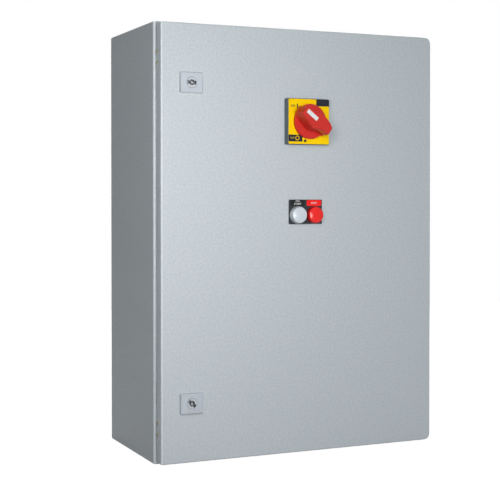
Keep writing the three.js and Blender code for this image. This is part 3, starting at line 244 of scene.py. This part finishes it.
class Surface:
    """A node material that reads positions on the object, in metres."""

    def __init__(self, name, roughness, metallic=0.0, specular=0.5):
        self.material = bpy.data.materials.new(name)
        self.material.use_nodes = True
        self.nodes = self.material.node_tree.nodes
        self.links = self.material.node_tree.links
        self.shader = self.nodes["Principled BSDF"]
        self.shader.inputs["Roughness"].default_value = roughness
        self.shader.inputs["Metallic"].default_value = metallic
        self.shader.inputs["Specular IOR Level"].default_value = specular
        self.place = self.nodes.new("ShaderNodeTexCoord").outputs["Object"]

    def stretched(self, scale):
        mapping = self.nodes.new("ShaderNodeMapping")
        mapping.inputs["Scale"].default_value = scale
        self.links.new(self.place, mapping.inputs["Vector"])
        return mapping.outputs["Vector"]

    def noise(self, scale, detail=2.0, place=None):
        node = self.nodes.new("ShaderNodeTexNoise")
        node.inputs["Scale"].default_value = scale
        node.inputs["Detail"].default_value = detail
        self.links.new(place or self.place, node.inputs["Vector"])
        return node.outputs["Fac"]

    def cells(self, scale):
        node = self.nodes.new("ShaderNodeTexVoronoi")
        node.inputs["Scale"].default_value = scale
        self.links.new(self.place, node.inputs["Vector"])
        split = self.nodes.new("ShaderNodeSeparateColor")
        self.links.new(node.outputs["Color"], split.inputs["Color"])
        return split.outputs["Red"]

    def bands(self, axis, scale):
        node = self.nodes.new("ShaderNodeTexWave")
        node.bands_direction = axis
        node.inputs["Scale"].default_value = scale
        self.links.new(self.place, node.inputs["Vector"])
        return node.outputs["Fac"]

    def between(self, fac, low, high, start=0.3, end=0.7):
        """Colour ramp from low to high over a range of fac."""
        ramp = self.nodes.new("ShaderNodeValToRGB")
        ramp.color_ramp.elements[0].position = start
        ramp.color_ramp.elements[0].color = low
        ramp.color_ramp.elements[1].position = end
        ramp.color_ramp.elements[1].color = high
        self.links.new(fac, ramp.inputs["Fac"])
        return ramp.outputs["Color"]

    def spread(self, axis, start, end):
        """Zero at one place along an axis, one at the other."""
        split = self.nodes.new("ShaderNodeSeparateXYZ")
        self.links.new(self.place, split.inputs[0])
        span = self.nodes.new("ShaderNodeMapRange")
        span.inputs["From Min"].default_value = start
        span.inputs["From Max"].default_value = end
        self.links.new(split.outputs[axis], span.inputs["Value"])
        return span.outputs["Result"]

    def mixed(self, fac, low, high):
        """One colour where fac is zero, the other where it is one."""
        mix = self.nodes.new("ShaderNodeMixRGB")
        for output, socket in zip((fac, low, high), mix.inputs):
            self.links.new(output, socket)
        return mix.outputs[0]

    def colour(self, output):
        self.links.new(output, self.shader.inputs["Base Color"])

    def roughness(self, fac, low, high):
        spread = self.nodes.new("ShaderNodeMapRange")
        spread.inputs["To Min"].default_value = low
        spread.inputs["To Max"].default_value = high
        self.links.new(fac, spread.inputs["Value"])
        self.links.new(spread.outputs["Result"], self.shader.inputs["Roughness"])

    def bump(self, fac, height, strength=1.0):
        node = self.nodes.new("ShaderNodeBump")
        node.inputs["Distance"].default_value = height
        node.inputs["Strength"].default_value = strength
        self.links.new(fac, node.inputs["Height"])
        self.links.new(node.outputs["Normal"], self.shader.inputs["Normal"])


def lock_metal(name, colour, face_y):
    """Satin metal in front, and painted shade in the keyhole behind its face."""
    surface = Surface(name, roughness=0.5, metallic=0.25)
    # Painted shade: the colour darkens behind the face, deep in the keyhole.
    behind = surface.spread("Y", face_y + 0.3 * MM, face_y + 1.6 * MM)
    surface.colour(surface.between(behind, colour, shaded(colour, 0.4), start=0.0, end=1.0))
    surface.roughness(surface.noise(220), 0.4, 0.6)
    return surface.material


def lock_side_wear(surface):
    """How pale the paint is painted on the left bends and return of the door and on the left bend of the
    body's rim:
    a painted highlight for the light that these left-facing edges catch."""
    # Painted highlight: the mask for the paler paint on the left bends and the door's return.
    start, end = (-BOX_WIDTH / 2 + fade for fade in HIGHLIGHT_FADES)
    across = surface.spread("X", start, end)
    ramp = surface.nodes.new("ShaderNodeValToRGB")
    stops = ramp.color_ramp.elements
    for stop, (share, _) in zip(stops, HIGHLIGHT_STOPS):
        stop.position = share
    for share, _ in HIGHLIGHT_STOPS[2:]:
        stops.new(share)
    for stop, (_, paleness) in zip(stops, HIGHLIGHT_STOPS):
        stop.color = (paleness, paleness, paleness, 1)
    surface.links.new(surface.spread("Y", DOOR_FRONT, DOOR_FRONT + HIGHLIGHT_DEPTH), ramp.inputs["Fac"])
    both = surface.nodes.new("ShaderNodeMath")
    both.operation = "MULTIPLY"
    surface.links.new(across, both.inputs[0])
    surface.links.new(ramp.outputs["Color"], both.inputs[1])
    return both.outputs[0]


def powder_coat(name, colour):
    """Textured powder coat: a fine pebbled skin with pale and dark specks, and a painted highlight that makes
    it paler on the lock side's bends.
    """
    surface = Surface(name, roughness=0.45)
    grain = surface.noise(300, detail=3.0)
    coat = surface.between(grain, shaded(colour, 0.91), shaded(colour, 1.08))
    # Paler copy of the coat, painted highlight for the light caught by the left bends.
    highlighted = surface.between(grain, shaded(colour, 1.26), shaded(colour, 1.46))
    surface.colour(surface.mixed(lock_side_wear(surface), coat, highlighted))
    surface.roughness(surface.noise(90), 0.38, 0.55)
    surface.bump(surface.noise(260), height=0.3 * MM, strength=0.6)
    return surface.material


def galvanised(name, colour):
    """Zinc with its spangle: cells of slightly different grey and gloss."""
    surface = Surface(name, roughness=0.5, metallic=0.45)
    spangle = surface.cells(110)
    surface.colour(surface.between(spangle, shaded(colour, 0.9), shaded(colour, 1.06), start=0.1, end=0.9))
    surface.roughness(spangle, 0.48, 0.62)
    surface.bump(surface.noise(300), height=0.03 * MM)
    return surface.material


def machined(name, colour, roughness=0.28):
    """Bare metal with fine tool lines across Y."""
    surface = Surface(name, roughness, metallic=1.0)
    lines = surface.noise(60, place=surface.stretched((4, 60, 4)))
    surface.colour(surface.between(lines, shaded(colour, 0.85), shaded(colour, 1.08)))
    surface.roughness(lines, roughness * 0.8, roughness * 1.4)
    return surface.material


def moulded(name, colour, roughness=0.42, grain=0.03 * MM, scale=900, specular=0.5):
    """Moulded plastic: an even colour with faint flow clouds and a fine spark-eroded grain."""
    surface = Surface(name, roughness, specular=specular)
    surface.colour(surface.between(surface.noise(35), shaded(colour, 0.95), shaded(colour, 1.05)))
    surface.roughness(surface.noise(160), roughness * 0.85, roughness * 1.2)
    surface.bump(surface.noise(scale), grain)
    return surface.material


def foam(name, colour):
    """Foamed gasket: open cells, darker in their depth."""
    surface = Surface(name, roughness=0.9)
    pores = surface.cells(1200)
    surface.colour(surface.between(pores, shaded(colour, 0.7), shaded(colour, 1.3), start=0.1, end=0.9))
    surface.bump(pores, height=0.1 * MM, strength=0.8)
    return surface.material


def laminations(name, colour):
    """Edges of the stacked core sheets."""
    surface = Surface(name, roughness=0.45, metallic=0.9)
    sheets = surface.bands("Z", 320)
    surface.colour(surface.between(sheets, shaded(colour, 0.55), colour, start=0.1, end=0.5))
    surface.bump(sheets, height=0.05 * MM)
    return surface.material


def winding(name, colour):
    """Turns of enamelled wire side by side."""
    surface = Surface(name, roughness=0.35, metallic=0.6)
    turns = surface.bands("Y", 300)
    surface.colour(surface.between(turns, shaded(colour, 0.5), colour, start=0.1, end=0.6))
    surface.bump(turns, height=0.15 * MM)
    return surface.material


def brushed_label(name, colour):
    """Silver foil label, left blank: fine brushed lines along it."""
    surface = Surface(name, roughness=0.35, metallic=0.6)
    lines = surface.noise(120, detail=3.0, place=surface.stretched((1, 40, 40)))
    surface.colour(surface.between(lines, shaded(colour, 0.86), shaded(colour, 1.06)))
    surface.roughness(lines, 0.28, 0.45)
    return surface.material


def make_materials():
    """Every material by its short name; fine_grain is the grain of glossy plastic and of print."""
    fine_grain = 0.01 * MM
    return {
        "paint": powder_coat("light_grey_powder_coat", linear(190, 198, 204)),
        "zinc": galvanised("galvanised_steel", linear(150, 155, 158)),
        "steel": machined("bright_steel", linear(190, 192, 195)),
        "lock": lock_metal("lock_insert_metal", linear(172, 179, 186), DOOR_FRONT - LOCK_PLATE),
        "lock_plate": moulded("grey_lock_housing", linear(186, 194, 203), 0.5),
        "bolt": machined("zinc_plated_screws", linear(200, 200, 196), 0.25),
        "laminations": laminations("core_laminations", linear(150, 152, 155)),
        "winding": winding("enamelled_winding", linear(150, 78, 38)),
        "copper": machined("bare_copper", linear(178, 116, 84), 0.36),
        "foam": foam("gasket_foam", linear(46, 47, 50)),
        "housing": moulded("dark_housing_plastic", linear(78, 94, 100), 0.45),
        "holder": moulded("dark_holder_plastic", linear(34, 40, 47), 0.4, specular=0.3),
        "yellow": moulded("yellow_plastic", linear(255, 211, 0), 0.45, specular=0.1),
        "red": moulded("red_handle_plastic", linear(200, 37, 29), 0.34, specular=0.35),
        "red_cap": moulded("red_cap_plastic", linear(240, 14, 8), 0.14, fine_grain, specular=0.4),
        "red_ring": moulded("dark_red_collar", linear(150, 20, 16), 0.25, fine_grain),
        "white_cap": moulded("white_cap_plastic", linear(208, 217, 226), 0.14, fine_grain),
        "grey_ring": moulded("grey_collar", linear(176, 184, 190), 0.2, fine_grain),
        "white": moulded("white_plastic", linear(222, 226, 226), 0.4),
        "black": moulded("black_plastic", linear(36, 38, 41), 0.45),
        "cable_1": moulded("brown_insulation", linear(92, 52, 32), 0.45, 0.05 * MM, 300),
        "cable_2": moulded("black_insulation", linear(28, 29, 31), 0.45, 0.05 * MM, 300),
        "cable_3": moulded("grey_insulation", linear(122, 126, 130), 0.45, 0.05 * MM, 300),
        "device": moulded("device_grey_plastic", linear(128, 135, 139), 0.5),
        "duct": moulded("duct_grey_plastic", linear(150, 156, 158), 0.5),
        "overload": moulded("overload_plastic", linear(58, 64, 69), 0.48),
        "cream": moulded("off_white_plastic", linear(214, 211, 200), 0.48),
        "blue": moulded("blue_plastic", linear(40, 88, 160), 0.35),
        "green": moulded("green_plastic", linear(42, 120, 62), 0.4),
        "tan": moulded("tan_plug_plastic", linear(178, 172, 134), 0.5),
        "label": brushed_label("blank_rating_label", linear(206, 208, 210)),
        "ink_dark": moulded("dark_print", linear(26, 31, 40), 0.5, fine_grain, specular=0.2),
        "ink_dim": moulded("dim_yellow_print", linear(176, 152, 40), 0.5, fine_grain),
        "ink_pale": moulded("pale_print", linear(214, 216, 218), 0.5, fine_grain),
        "ink_black": moulded("black_legend", linear(12, 14, 17), 0.4, fine_grain, specular=0.2),
        "ink_red": moulded("red_legend", linear(245, 12, 8), 0.35, fine_grain, specular=0.35),
    }


# Mesh helpers

def finished(name, form, material):
    """A linked object with the built form as its mesh."""
    mesh = bpy.data.meshes.new(name)
    form.to_mesh(mesh)
    form.free()
    mesh.materials.append(material)
    piece = bpy.data.objects.new(name, mesh)
    bpy.context.scene.collection.objects.link(piece)
    return piece


def circle(radius, sides):
    """Points around a circle, as pairs."""
    turns = [2 * math.pi * i / sides for i in range(sides)]
    return [(radius * math.cos(turn), radius * math.sin(turn)) for turn in turns]


def bridge(form, rings, smooth=False):
    """Faces between each ring of points and the next one."""
    for here, there in zip(rings, rings[1:]):
        for i in range(len(here)):
            after = (i + 1) % len(here)
            form.faces.new((here[i], here[after], there[after], there[i])).smooth = smooth


def node_body(node):
    """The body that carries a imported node."""
    bodies = frame["record"]["behaviour"]["bodies"]
    return next(body for body, names in bodies.items() if node in names)


def extent(node):
    """Middle, low corner and high corner of a node's box."""
    low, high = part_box(node)
    return (low + high) / 2, low, high


def refined(node, material, edge):
    """A copy of a node's form with flat faces merged and its edges softened; it stands for the node."""
    form = bmesh.new()
    form.from_mesh(frame["nodes"][node].data)
    bmesh.ops.remove_doubles(form, verts=form.verts, dist=MERGE_DISTANCE)
    bmesh.ops.dissolve_limit(
        form, angle_limit=FLAT_ANGLE, verts=form.verts, edges=form.edges, delimit=set()
    )
    for face in form.faces:
        face.smooth = True
    piece = finished(node + "_looks", form, material)
    bevel = piece.modifiers.new("edges", "BEVEL")
    bevel.width = edge
    bevel.segments = EDGE_SEGMENTS
    bevel.limit_method = "ANGLE"
    bevel.angle_limit = SHARP_ANGLE
    bevel.use_clamp_overlap = True
    normals = piece.modifiers.new("flat_faces_stay_flat", "WEIGHTED_NORMAL")
    normals.weight = FLAT_WEIGHT
    normals.keep_sharp = True
    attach(piece, node_body(node))
    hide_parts(node)


def slab(name, size, material, body, place, turn=0.0):
    """A thin plate with round corners and softened edges, its back at place, facing the front.
    The size is its width, height, depth and corner radius in mm."""
    width, height, depth, corner = (length * MM for length in size)
    corner_steps = 5
    points = []
    for quarter, (side_x, side_z) in enumerate([(1, 1), (-1, 1), (-1, -1), (1, -1)]):
        for step in range(corner_steps + 1):
            angle = math.pi / 2 * (quarter + step / corner_steps)
            points.append((
                side_x * (width / 2 - corner) + corner * math.cos(angle),
                side_z * (height / 2 - corner) + corner * math.sin(angle),
            ))
    edge = min(depth * 0.4, corner * 0.5)
    form = bmesh.new()
    rings = []
    for inset, y in [(0, 0), (0, edge - depth), (edge, -depth)]:
        share_x = 1 - 2 * inset / width
        share_z = 1 - 2 * inset / height
        rings.append([form.verts.new((x * share_x, y, z * share_z)) for x, z in points])
    bridge(form, rings)
    form.faces.new(rings[0][::-1])
    form.faces.new(rings[-1])
    bmesh.ops.recalc_face_normals(form, faces=form.faces)
    piece = finished(name, form, material)
    piece.matrix_world = Matrix.Translation(place) @ Matrix.Rotation(turn, 4, "Y")
    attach(piece, body)
    return piece


def turned(name, profile, material, body, place, along=(0, -1, 0), sides=32):
    """A round piece revolved from pairs of radius and height in mm, its axis along a direction."""
    form = bmesh.new()
    rings = [
        [form.verts.new((x, y, height * MM)) for x, y in circle(radius * MM, sides)]
        for radius, height in profile
    ]
    bridge(form, rings, smooth=True)
    form.faces.new(rings[0][::-1])
    form.faces.new(rings[-1])
    piece = finished(name, form, material)
    piece.matrix_world = (
        Matrix.Translation(place) @ Vector(along).to_track_quat("Z", "Y").to_matrix().to_4x4()
    )
    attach(piece, body)


def cross_outline(arm, half, slotted):
    """Outline of a slot, or of a cross, with arms of one length and half width."""
    if slotted:
        return [(arm, -half), (arm, half), (-arm, half), (-arm, -half)]
    return [
        (arm, -half), (arm, half), (half, half), (half, arm), (-half, arm), (-half, half),
        (-arm, half), (-arm, -half), (-half, -half), (-half, -arm), (half, -arm), (half, -half),
    ]


def screws(name, places, size, material, body="enclosure", slotted=False, facing=-1):
    """Pan-head screws in one piece, of a radius and height in mm, each with a sunk cross or slot and a turn
    of its own; they face along Y."""
    radius, height = (length * MM for length in size)
    sides = 20
    outline = cross_outline(0.58 * radius, 0.13 * radius, slotted)
    form = bmesh.new()
    for number, (x, y, z) in enumerate(places):
        angle = 0.5 + 2.2 * number
        cos, sin = math.cos(angle), math.sin(angle)

        def ring_at(points, lift):
            return [
                form.verts.new((x + u * cos - v * sin, y + facing * lift, z + u * sin + v * cos))
                for u, v in points
            ]

        rings = [
            ring_at(circle(radius * share, sides), lift)
            for share, lift in [(1, 0), (1, 0.5 * height), (0.93, 0.8 * height), (0.74, height)]
        ]
        bridge(form, rings)
        form.faces.new(rings[0])
        rim = ring_at(outline, height)
        floor = ring_at(outline, 0.4 * height)
        edges = [form.edges.new((rim[i], rim[(i + 1) % len(rim)])) for i in range(len(rim))]
        edges += [form.edges.get((rings[-1][i], rings[-1][(i + 1) % sides])) for i in range(sides)]
        bmesh.ops.triangle_fill(form, edges=edges, use_beauty=True)
        bridge(form, [rim, floor])
        form.faces.new(floor)
    bmesh.ops.recalc_face_normals(form, faces=form.faces)
    piece = finished(name, form, material)
    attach(piece, body)


def ring(name, radius, width, material, body, place):
    """A flat printed ring, with its radius and width in mm."""
    sides = 40
    outer = radius * MM
    inner = outer - width * MM
    form = bmesh.new()
    loops = [
        [form.verts.new((x, -lift, z)) for x, z in circle(size, sides)]
        for size, lift in [(inner, 0), (inner, RING_LIFT), (outer, RING_LIFT), (outer, 0)]
    ]
    bridge(form, loops + loops[:1])
    bmesh.ops.recalc_face_normals(form, faces=form.faces)
    piece = finished(name, form, material)
    piece.location = place
    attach(piece, body)


def mark_row(name, places, y, length, width, material):
    """Short printed dashes at [x, z] places on one face, in one piece."""
    form = bmesh.new()
    for x, z in places:
        corners = [(-1, -1), (1, -1), (1, 1), (-1, 1)]
        rear, front = (
            [form.verts.new((x + a * width / 2, depth, z + b * length / 2)) for a, b in corners]
            for depth in (y, y - MARK_LIFT)
        )
        form.faces.new(rear[::-1])
        form.faces.new(front)
        bridge(form, [rear, front])
    bmesh.ops.recalc_face_normals(form, faces=form.faces)
    piece = finished(name, form, material)
    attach(piece, "enclosure")


def words(name, text, size, material, body, place, stretch=1.0):
    """Printed capitals of a size in mm, a hair proud of the face that they stand on."""
    data = bpy.data.curves.new(name, "FONT")
    data.body = text
    data.size = size * MM
    data.align_x = "CENTER"
    data.align_y = "CENTER"
    data.extrude = LETTER_DEPTH
    data.offset = size * MM * LETTER_STROKE_GAIN
    data.resolution_u = 3
    data.materials.append(material)
    piece = bpy.data.objects.new(name, data)
    bpy.context.scene.collection.objects.link(piece)
    piece.matrix_world = (
        Matrix.Translation(place) @ Matrix.Rotation(math.pi / 2, 4, "X") @ Matrix.Diagonal((stretch, 1, 1, 1))
    )
    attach(piece, body)


# Pieces

def dress_nodes(m):
    """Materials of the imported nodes, and the width of their softened edges in mm."""
    fine = 0.25
    looks = {
        "enclosure_shell": ("paint", 0.3), "door_panel": ("paint", 0.3), "gland_plate": ("paint", fine),
        "gland_gasket": ("foam", fine), "door_gasket": ("foam", 2), "mounting_plate": ("zinc", fine),
        "mounting_rail": ("zinc", 0.2), "switch_shaft": ("steel", 0.5), "handle_housing": ("housing", 0.8),
        "handle_nut": ("black", 0.6), "handle_face_plate": ("yellow", 0.4), "handle_knob": ("red", 0.7),
        "handle_socket": ("black", fine), "start_legend_holder": ("holder", 0.4),
        "stop_legend_holder": ("holder", 0.4), "start_button_collar": ("grey_ring", fine),
        "stop_button_collar": ("red_ring", fine), "start_button_cap": ("white_cap", 0.5),
        "stop_button_cap": ("red_cap", 0.5), "start_contact_block": ("device", 0.4),
        "stop_contact_block": ("device", 0.4), "switch_body": ("device", 0.6),
        "contactor_base": ("black", 0.6), "contactor_housing": ("cream", 0.6),
        "contactor_core": ("laminations", fine), "contactor_armature": ("laminations", fine),
        "contactor_coil": ("winding", 1), "contactor_carrier": ("black", 0.3),
        "overload_body": ("overload", 0.6), "overload_reset": ("blue", 0.3), "overload_dial": ("white", fine),
        "breaker_body": ("white", 0.5), "breaker_toggle": ("black", 0.4), "wiring_duct": ("duct", 0.2),
        "duct_cover": ("duct", 0.3), "earth_bar": ("copper", 0.12),
    }
    for side in ("upper", "lower"):
        looks[side + "_hinge_leaf"] = ("steel", 0.2)
        looks[side + "_hinge_pin"] = ("steel", 0.2)
        looks[side + "_hinge_block"] = ("zinc", 0.3)
        looks[side + "_lock_housing"] = ("lock_plate", 0.3)
        looks[side + "_lock_nut"] = ("bolt", 0.4)
        looks[side + "_lock_insert"] = ("lock", 0.08)
        looks[side + "_lock_cam"] = ("bolt", 0.3)
    for number in range(1, 6):
        looks[f"terminal_{number}"] = ("green" if number == 5 else "device", 0.4)
    for number in range(1, 4):
        looks[f"power_conductor_{number}"] = (f"cable_{number}", 0.3)
    for node, (material, edge) in looks.items():
        refined(node, m[material], edge * MM)


def dress_handle(m):
    """Printed strips, letters and marks of the face plate, and the bare label on the grip."""
    def on_plate(x, z, lift=0.0):
        return Vector((CONTROLS_X + x, FACE_PLATE_FRONT - lift, HANDLE_Z + z))

    for name, size, x, z in [
        ("face_plate_dark_patch", (23.6, 11.2, 0.12, 0.3), 0.0248, 0.0310),
        ("face_plate_off_strip", (25, 11, 0.12, 0.3), -0.0247, -0.0272),
        ("on_bar", (2.0, 6.8, 0.08, 0.2), -0.0213, 0.0253),
        ("off_dot", (4.2, 4.2, 0.08, 0.3), -0.0073, -0.0313),
        ("on_dot", (3.6, 3.4, 0.08, 0.3), -0.0170, 0.0233),
    ]:
        slab(name, size, m["ink_dark"], "door", on_plate(x, z))
    words("on_word", "ON", 5.2, m["ink_dark"], "door", on_plate(-0.0294, 0.0251, 0.05 * MM))
    words("off_word", "OFF", 4.4, m["ink_dim"], "door", on_plate(-0.0304, -0.0270, 0.15 * MM))
    ring("off_ring", 3.7, 1.1, m["yellow"], "door", on_plate(-0.0214, -0.0270, 0.12 * MM))
    spin = Matrix.Rotation(GRIP_TURN, 3, "Y")
    label = Vector((CONTROLS_X, GRIP_FRONT, HANDLE_Z)) + spin @ Vector((-0.0129, 0.11 * MM, 0.0009))
    slab("grip_label", (22.6, 6.7, 0.15, 0.4), m["white"], "handle", label, GRIP_TURN)


def dress_buttons(m):
    """Legend inserts above the two caps."""
    legend_z = 0.0629
    word_y = HOLDER_FRONT - 0.18 * MM
    for name, side, ink, lines in [
        ("start", -1, "ink_black", [("ON", 0.0657), ("START", 0.0612)]),
        ("stop", 1, "ink_red", [("STOP", 0.0626)]),
    ]:
        x = CONTROLS_X + side * BUTTON_PITCH / 2
        slab(name + "_legend", (26.5, 9.6, 0.15, 0.4), m[ink], "door", Vector((x, HOLDER_FRONT, legend_z)))
        for number, (text, z) in enumerate(lines, 1):
            place = Vector((x, word_y, z))
            words(f"{name}_legend_line_{number}", text, 4.1, m["ink_pale"], "door", place, stretch=1.1)


def dress_fasteners(m):
    """Plugs in the spare hinge holes, and the screws and nuts of the door and the mounting plate."""
    head = [(2.9, -0.5), (2.9, 0.5), (2.4, 1.0), (1.0, 1.2)]
    nut = [(7.5, 0), (7.5, 1), (6.4, 1.4), (6.4, 6.5), (5.6, 7.2)]
    return_x = BOX_WIDTH / 2 - DOOR_INSET
    hole_y = -0.2335
    hole_offset = 0.009
    stud_inset = 0.014
    heights = [HINGE_Z + hole_offset, HINGE_Z - hole_offset, hole_offset - HINGE_Z, -hole_offset - HINGE_Z]
    for number, z in enumerate(heights, 1):
        left, right = (Vector((side * return_x, hole_y, z)) for side in SIDES)
        turned(f"hinge_hole_plug_{number}", head, m["tan"], "door", left, (-1, 0, 0))
        turned(f"hinge_screw_{number}", head, m["bolt"], "door", right, (1, 0, 0))
    low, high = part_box("mounting_plate")
    columns = (low.x + stud_inset, high.x - stud_inset)
    rows = (low.z + stud_inset, high.z - stud_inset)
    studs = [(x, z) for x in columns for z in rows]
    for number, (x, z) in enumerate(studs, 1):
        turned(f"plate_nut_{number}", nut, m["bolt"], "enclosure", Vector((x, low.y, z)), sides=6)


def dress_switch(m):
    """Clamps, screws and marks of the main switch, and its blank label."""
    centre, low, high = extent("switch_body")
    clamp_y = low.y + 19 * MM
    clamp_size = (13, 9, 2, 1)
    rows = (high.z - 8 * MM, low.z + 8 * MM)
    clamps = [(centre.x + pole * SWITCH_PITCH, z) for pole in POLES for z in rows]
    for number, (x, z) in enumerate(clamps, 1):
        slab(f"switch_clamp_{number}", clamp_size, m["bolt"], "enclosure", Vector((x, clamp_y, z)))
    heads = [(x, clamp_y - 2 * MM, z) for x, z in clamps]
    screws("switch_screws", heads, (4.2, 2.6), m["bolt"])
    place = Vector((centre.x, low.y, centre.z + 18 * MM))
    slab("switch_label", (46, 9, 0.2, 0.6), m["white"], "enclosure", place)
    marks = [(centre.x + pole * SWITCH_PITCH, centre.z + side * 38 * MM) for pole in POLES for side in SIDES]
    mark_row("switch_marks", marks, low.y + 12 * MM, 5 * MM, 1.2 * MM, m["ink_pale"])


def dress_contactor(m):
    """Screws and marks of the contactor, and its blank label."""
    centre, low, _ = extent("contactor_housing")
    shoulder = low.y + 24 * MM
    foot = -28.5 * MM
    mains = [(pole * CONTACTOR_PITCH, shoulder, centre.z + end * 65 * MM) for pole in POLES for end in SIDES]
    screws("contactor_screws", mains, (4.6, 3), m["bolt"])
    coil = [(side * 53 * MM, shoulder, centre.z + end * 44 * MM) for end in (1, -1) for side in SIDES]
    screws("coil_screws", coil, (3, 2.2), m["bolt"])
    feet = [(side * 36 * MM, foot, centre.z + end * 81 * MM) for side in SIDES for end in SIDES]
    screws("contactor_foot_screws", feet, (4, 2.8), m["bolt"])
    place = Vector((0, low.y, centre.z - 22 * MM))
    slab("contactor_label", (62, 15, 0.25, 0.8), m["label"], "enclosure", place)
    marks = [(pole * CONTACTOR_PITCH, centre.z + side * 54 * MM) for pole in POLES for side in SIDES]
    mark_row("contactor_marks", marks, shoulder, 7 * MM, 1.4 * MM, m["ink_dark"])


def dress_overload(m):
    """Screws of the overload relay, its blank label and the numbers around its dial."""
    _, low, _ = extent("overload_body")
    relay_z = -0.125
    dial = Vector((0, low.y - 0.02 * MM, relay_z))
    number_radius = 14 * MM
    outputs = [(pole * CONTACTOR_PITCH, low.y + 14 * MM, relay_z - 35 * MM) for pole in POLES]
    screws("overload_screws", outputs, (4.6, 3), m["bolt"])
    place = Vector((-28 * MM, low.y, relay_z + 4 * MM))
    slab("overload_label", (26, 11, 0.25, 0.6), m["label"], "enclosure", place)
    for number, text in enumerate(("8", "10", "12", "14")):
        angle = math.radians(-135 + 90 * number)
        place = dial + Vector((number_radius * math.sin(angle), 0, number_radius * math.cos(angle)))
        words(f"dial_number_{text}", text, 3.6, m["ink_pale"], "enclosure", place)


def dress_breaker(m):
    """Screws, stripe and switching marks of the control breaker."""
    centre, low, _ = extent("breaker_body")
    ends = [(centre.x, low.y + 19.5 * MM, centre.z + side * 32.25 * MM) for side in SIDES]
    screws("breaker_screws", ends, (3.2, 1.6), m["bolt"])
    place = Vector((centre.x, low.y, centre.z + 18 * MM))
    slab("breaker_stripe", (15, 2.4, 0.15, 0.3), m["blue"], "enclosure", place)
    for name, text, side in [("breaker_on", "I", 1), ("breaker_off", "O", -1)]:
        place = Vector((centre.x + 6.4 * MM, low.y - 0.02 * MM, centre.z + side * 10 * MM))
        words(name, text, 3.2, m["ink_dark"], "enclosure", place)


def dress_terminals(m):
    """Numbered tags and slotted screws of the terminals."""
    heads = []
    for number in range(1, 6):
        centre, low, _ = extent(f"terminal_{number}")
        heads += [(centre.x, low.y + 7.9 * MM, centre.z + side * 8.5 * MM) for side in SIDES]
        place = Vector((centre.x, low.y, centre.z))
        slab(f"terminal_tag_{number}", (8, 5, 0.5, 0.6), m["white"], "enclosure", place)
        place = Vector((centre.x, low.y - 0.53 * MM, centre.z))
        words(f"terminal_number_{number}", str(number), 3.6, m["ink_black"], "enclosure", place)
    screws("terminal_screws", heads, (3, 1.4), m["bolt"], slotted=True)


def dress_earth_and_rail(m):
    """Screws of the earth bar and of the mounting rail."""
    centre, low, _ = extent("earth_bar")
    heads = [(centre.x + step * 11 * MM, low.y, centre.z) for step in range(-3, 4)]
    screws("earth_screws", heads, (3.8, 2.4), m["bolt"], slotted=True)
    centre, low, high = extent("mounting_rail")
    heads = [(x, high.y - 1 * MM, centre.z) for x in (low.x + 9 * MM, low.x + 225 * MM, high.x - 9 * MM)]
    screws("rail_screws", heads, (4, 2.6), m["bolt"])


def dress_door_back(m):
    """Screws and coloured tags of the contact blocks, seen when the door is open."""
    for side, colour in [("start", "green"), ("stop", "red")]:
        low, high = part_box(side + "_contact_block")
        x, z = (low.x + high.x) / 2, (low.z + high.z) / 2
        heads = [(x + across * 5 * MM, high.y, z + up * 10 * MM) for across in SIDES for up in SIDES]
        screws(side + "_block_screws", heads, (2.1, 0.9), m["bolt"], "door", facing=1)
        place = Vector((x, high.y, z))
        tag = slab(side + "_block_tag", (12, 5, 0.3, 0.5), m[colour], "door", place)
        tag.matrix_world = Matrix.Translation(place) @ Matrix.Rotation(math.pi, 4, "Z")


bpy.context.scene.view_settings.view_transform = "Standard"
make_camera()
make_world()
make_stage()
for lamp in LAMPS:
    make_light(*lamp)

materials = make_materials()
dress_nodes(materials)
dress_handle(materials)
dress_buttons(materials)
dress_fasteners(materials)
dress_switch(materials)
dress_contactor(materials)
dress_overload(materials)
dress_breaker(materials)
dress_terminals(materials)
dress_earth_and_rail(materials)
dress_door_back(materials)
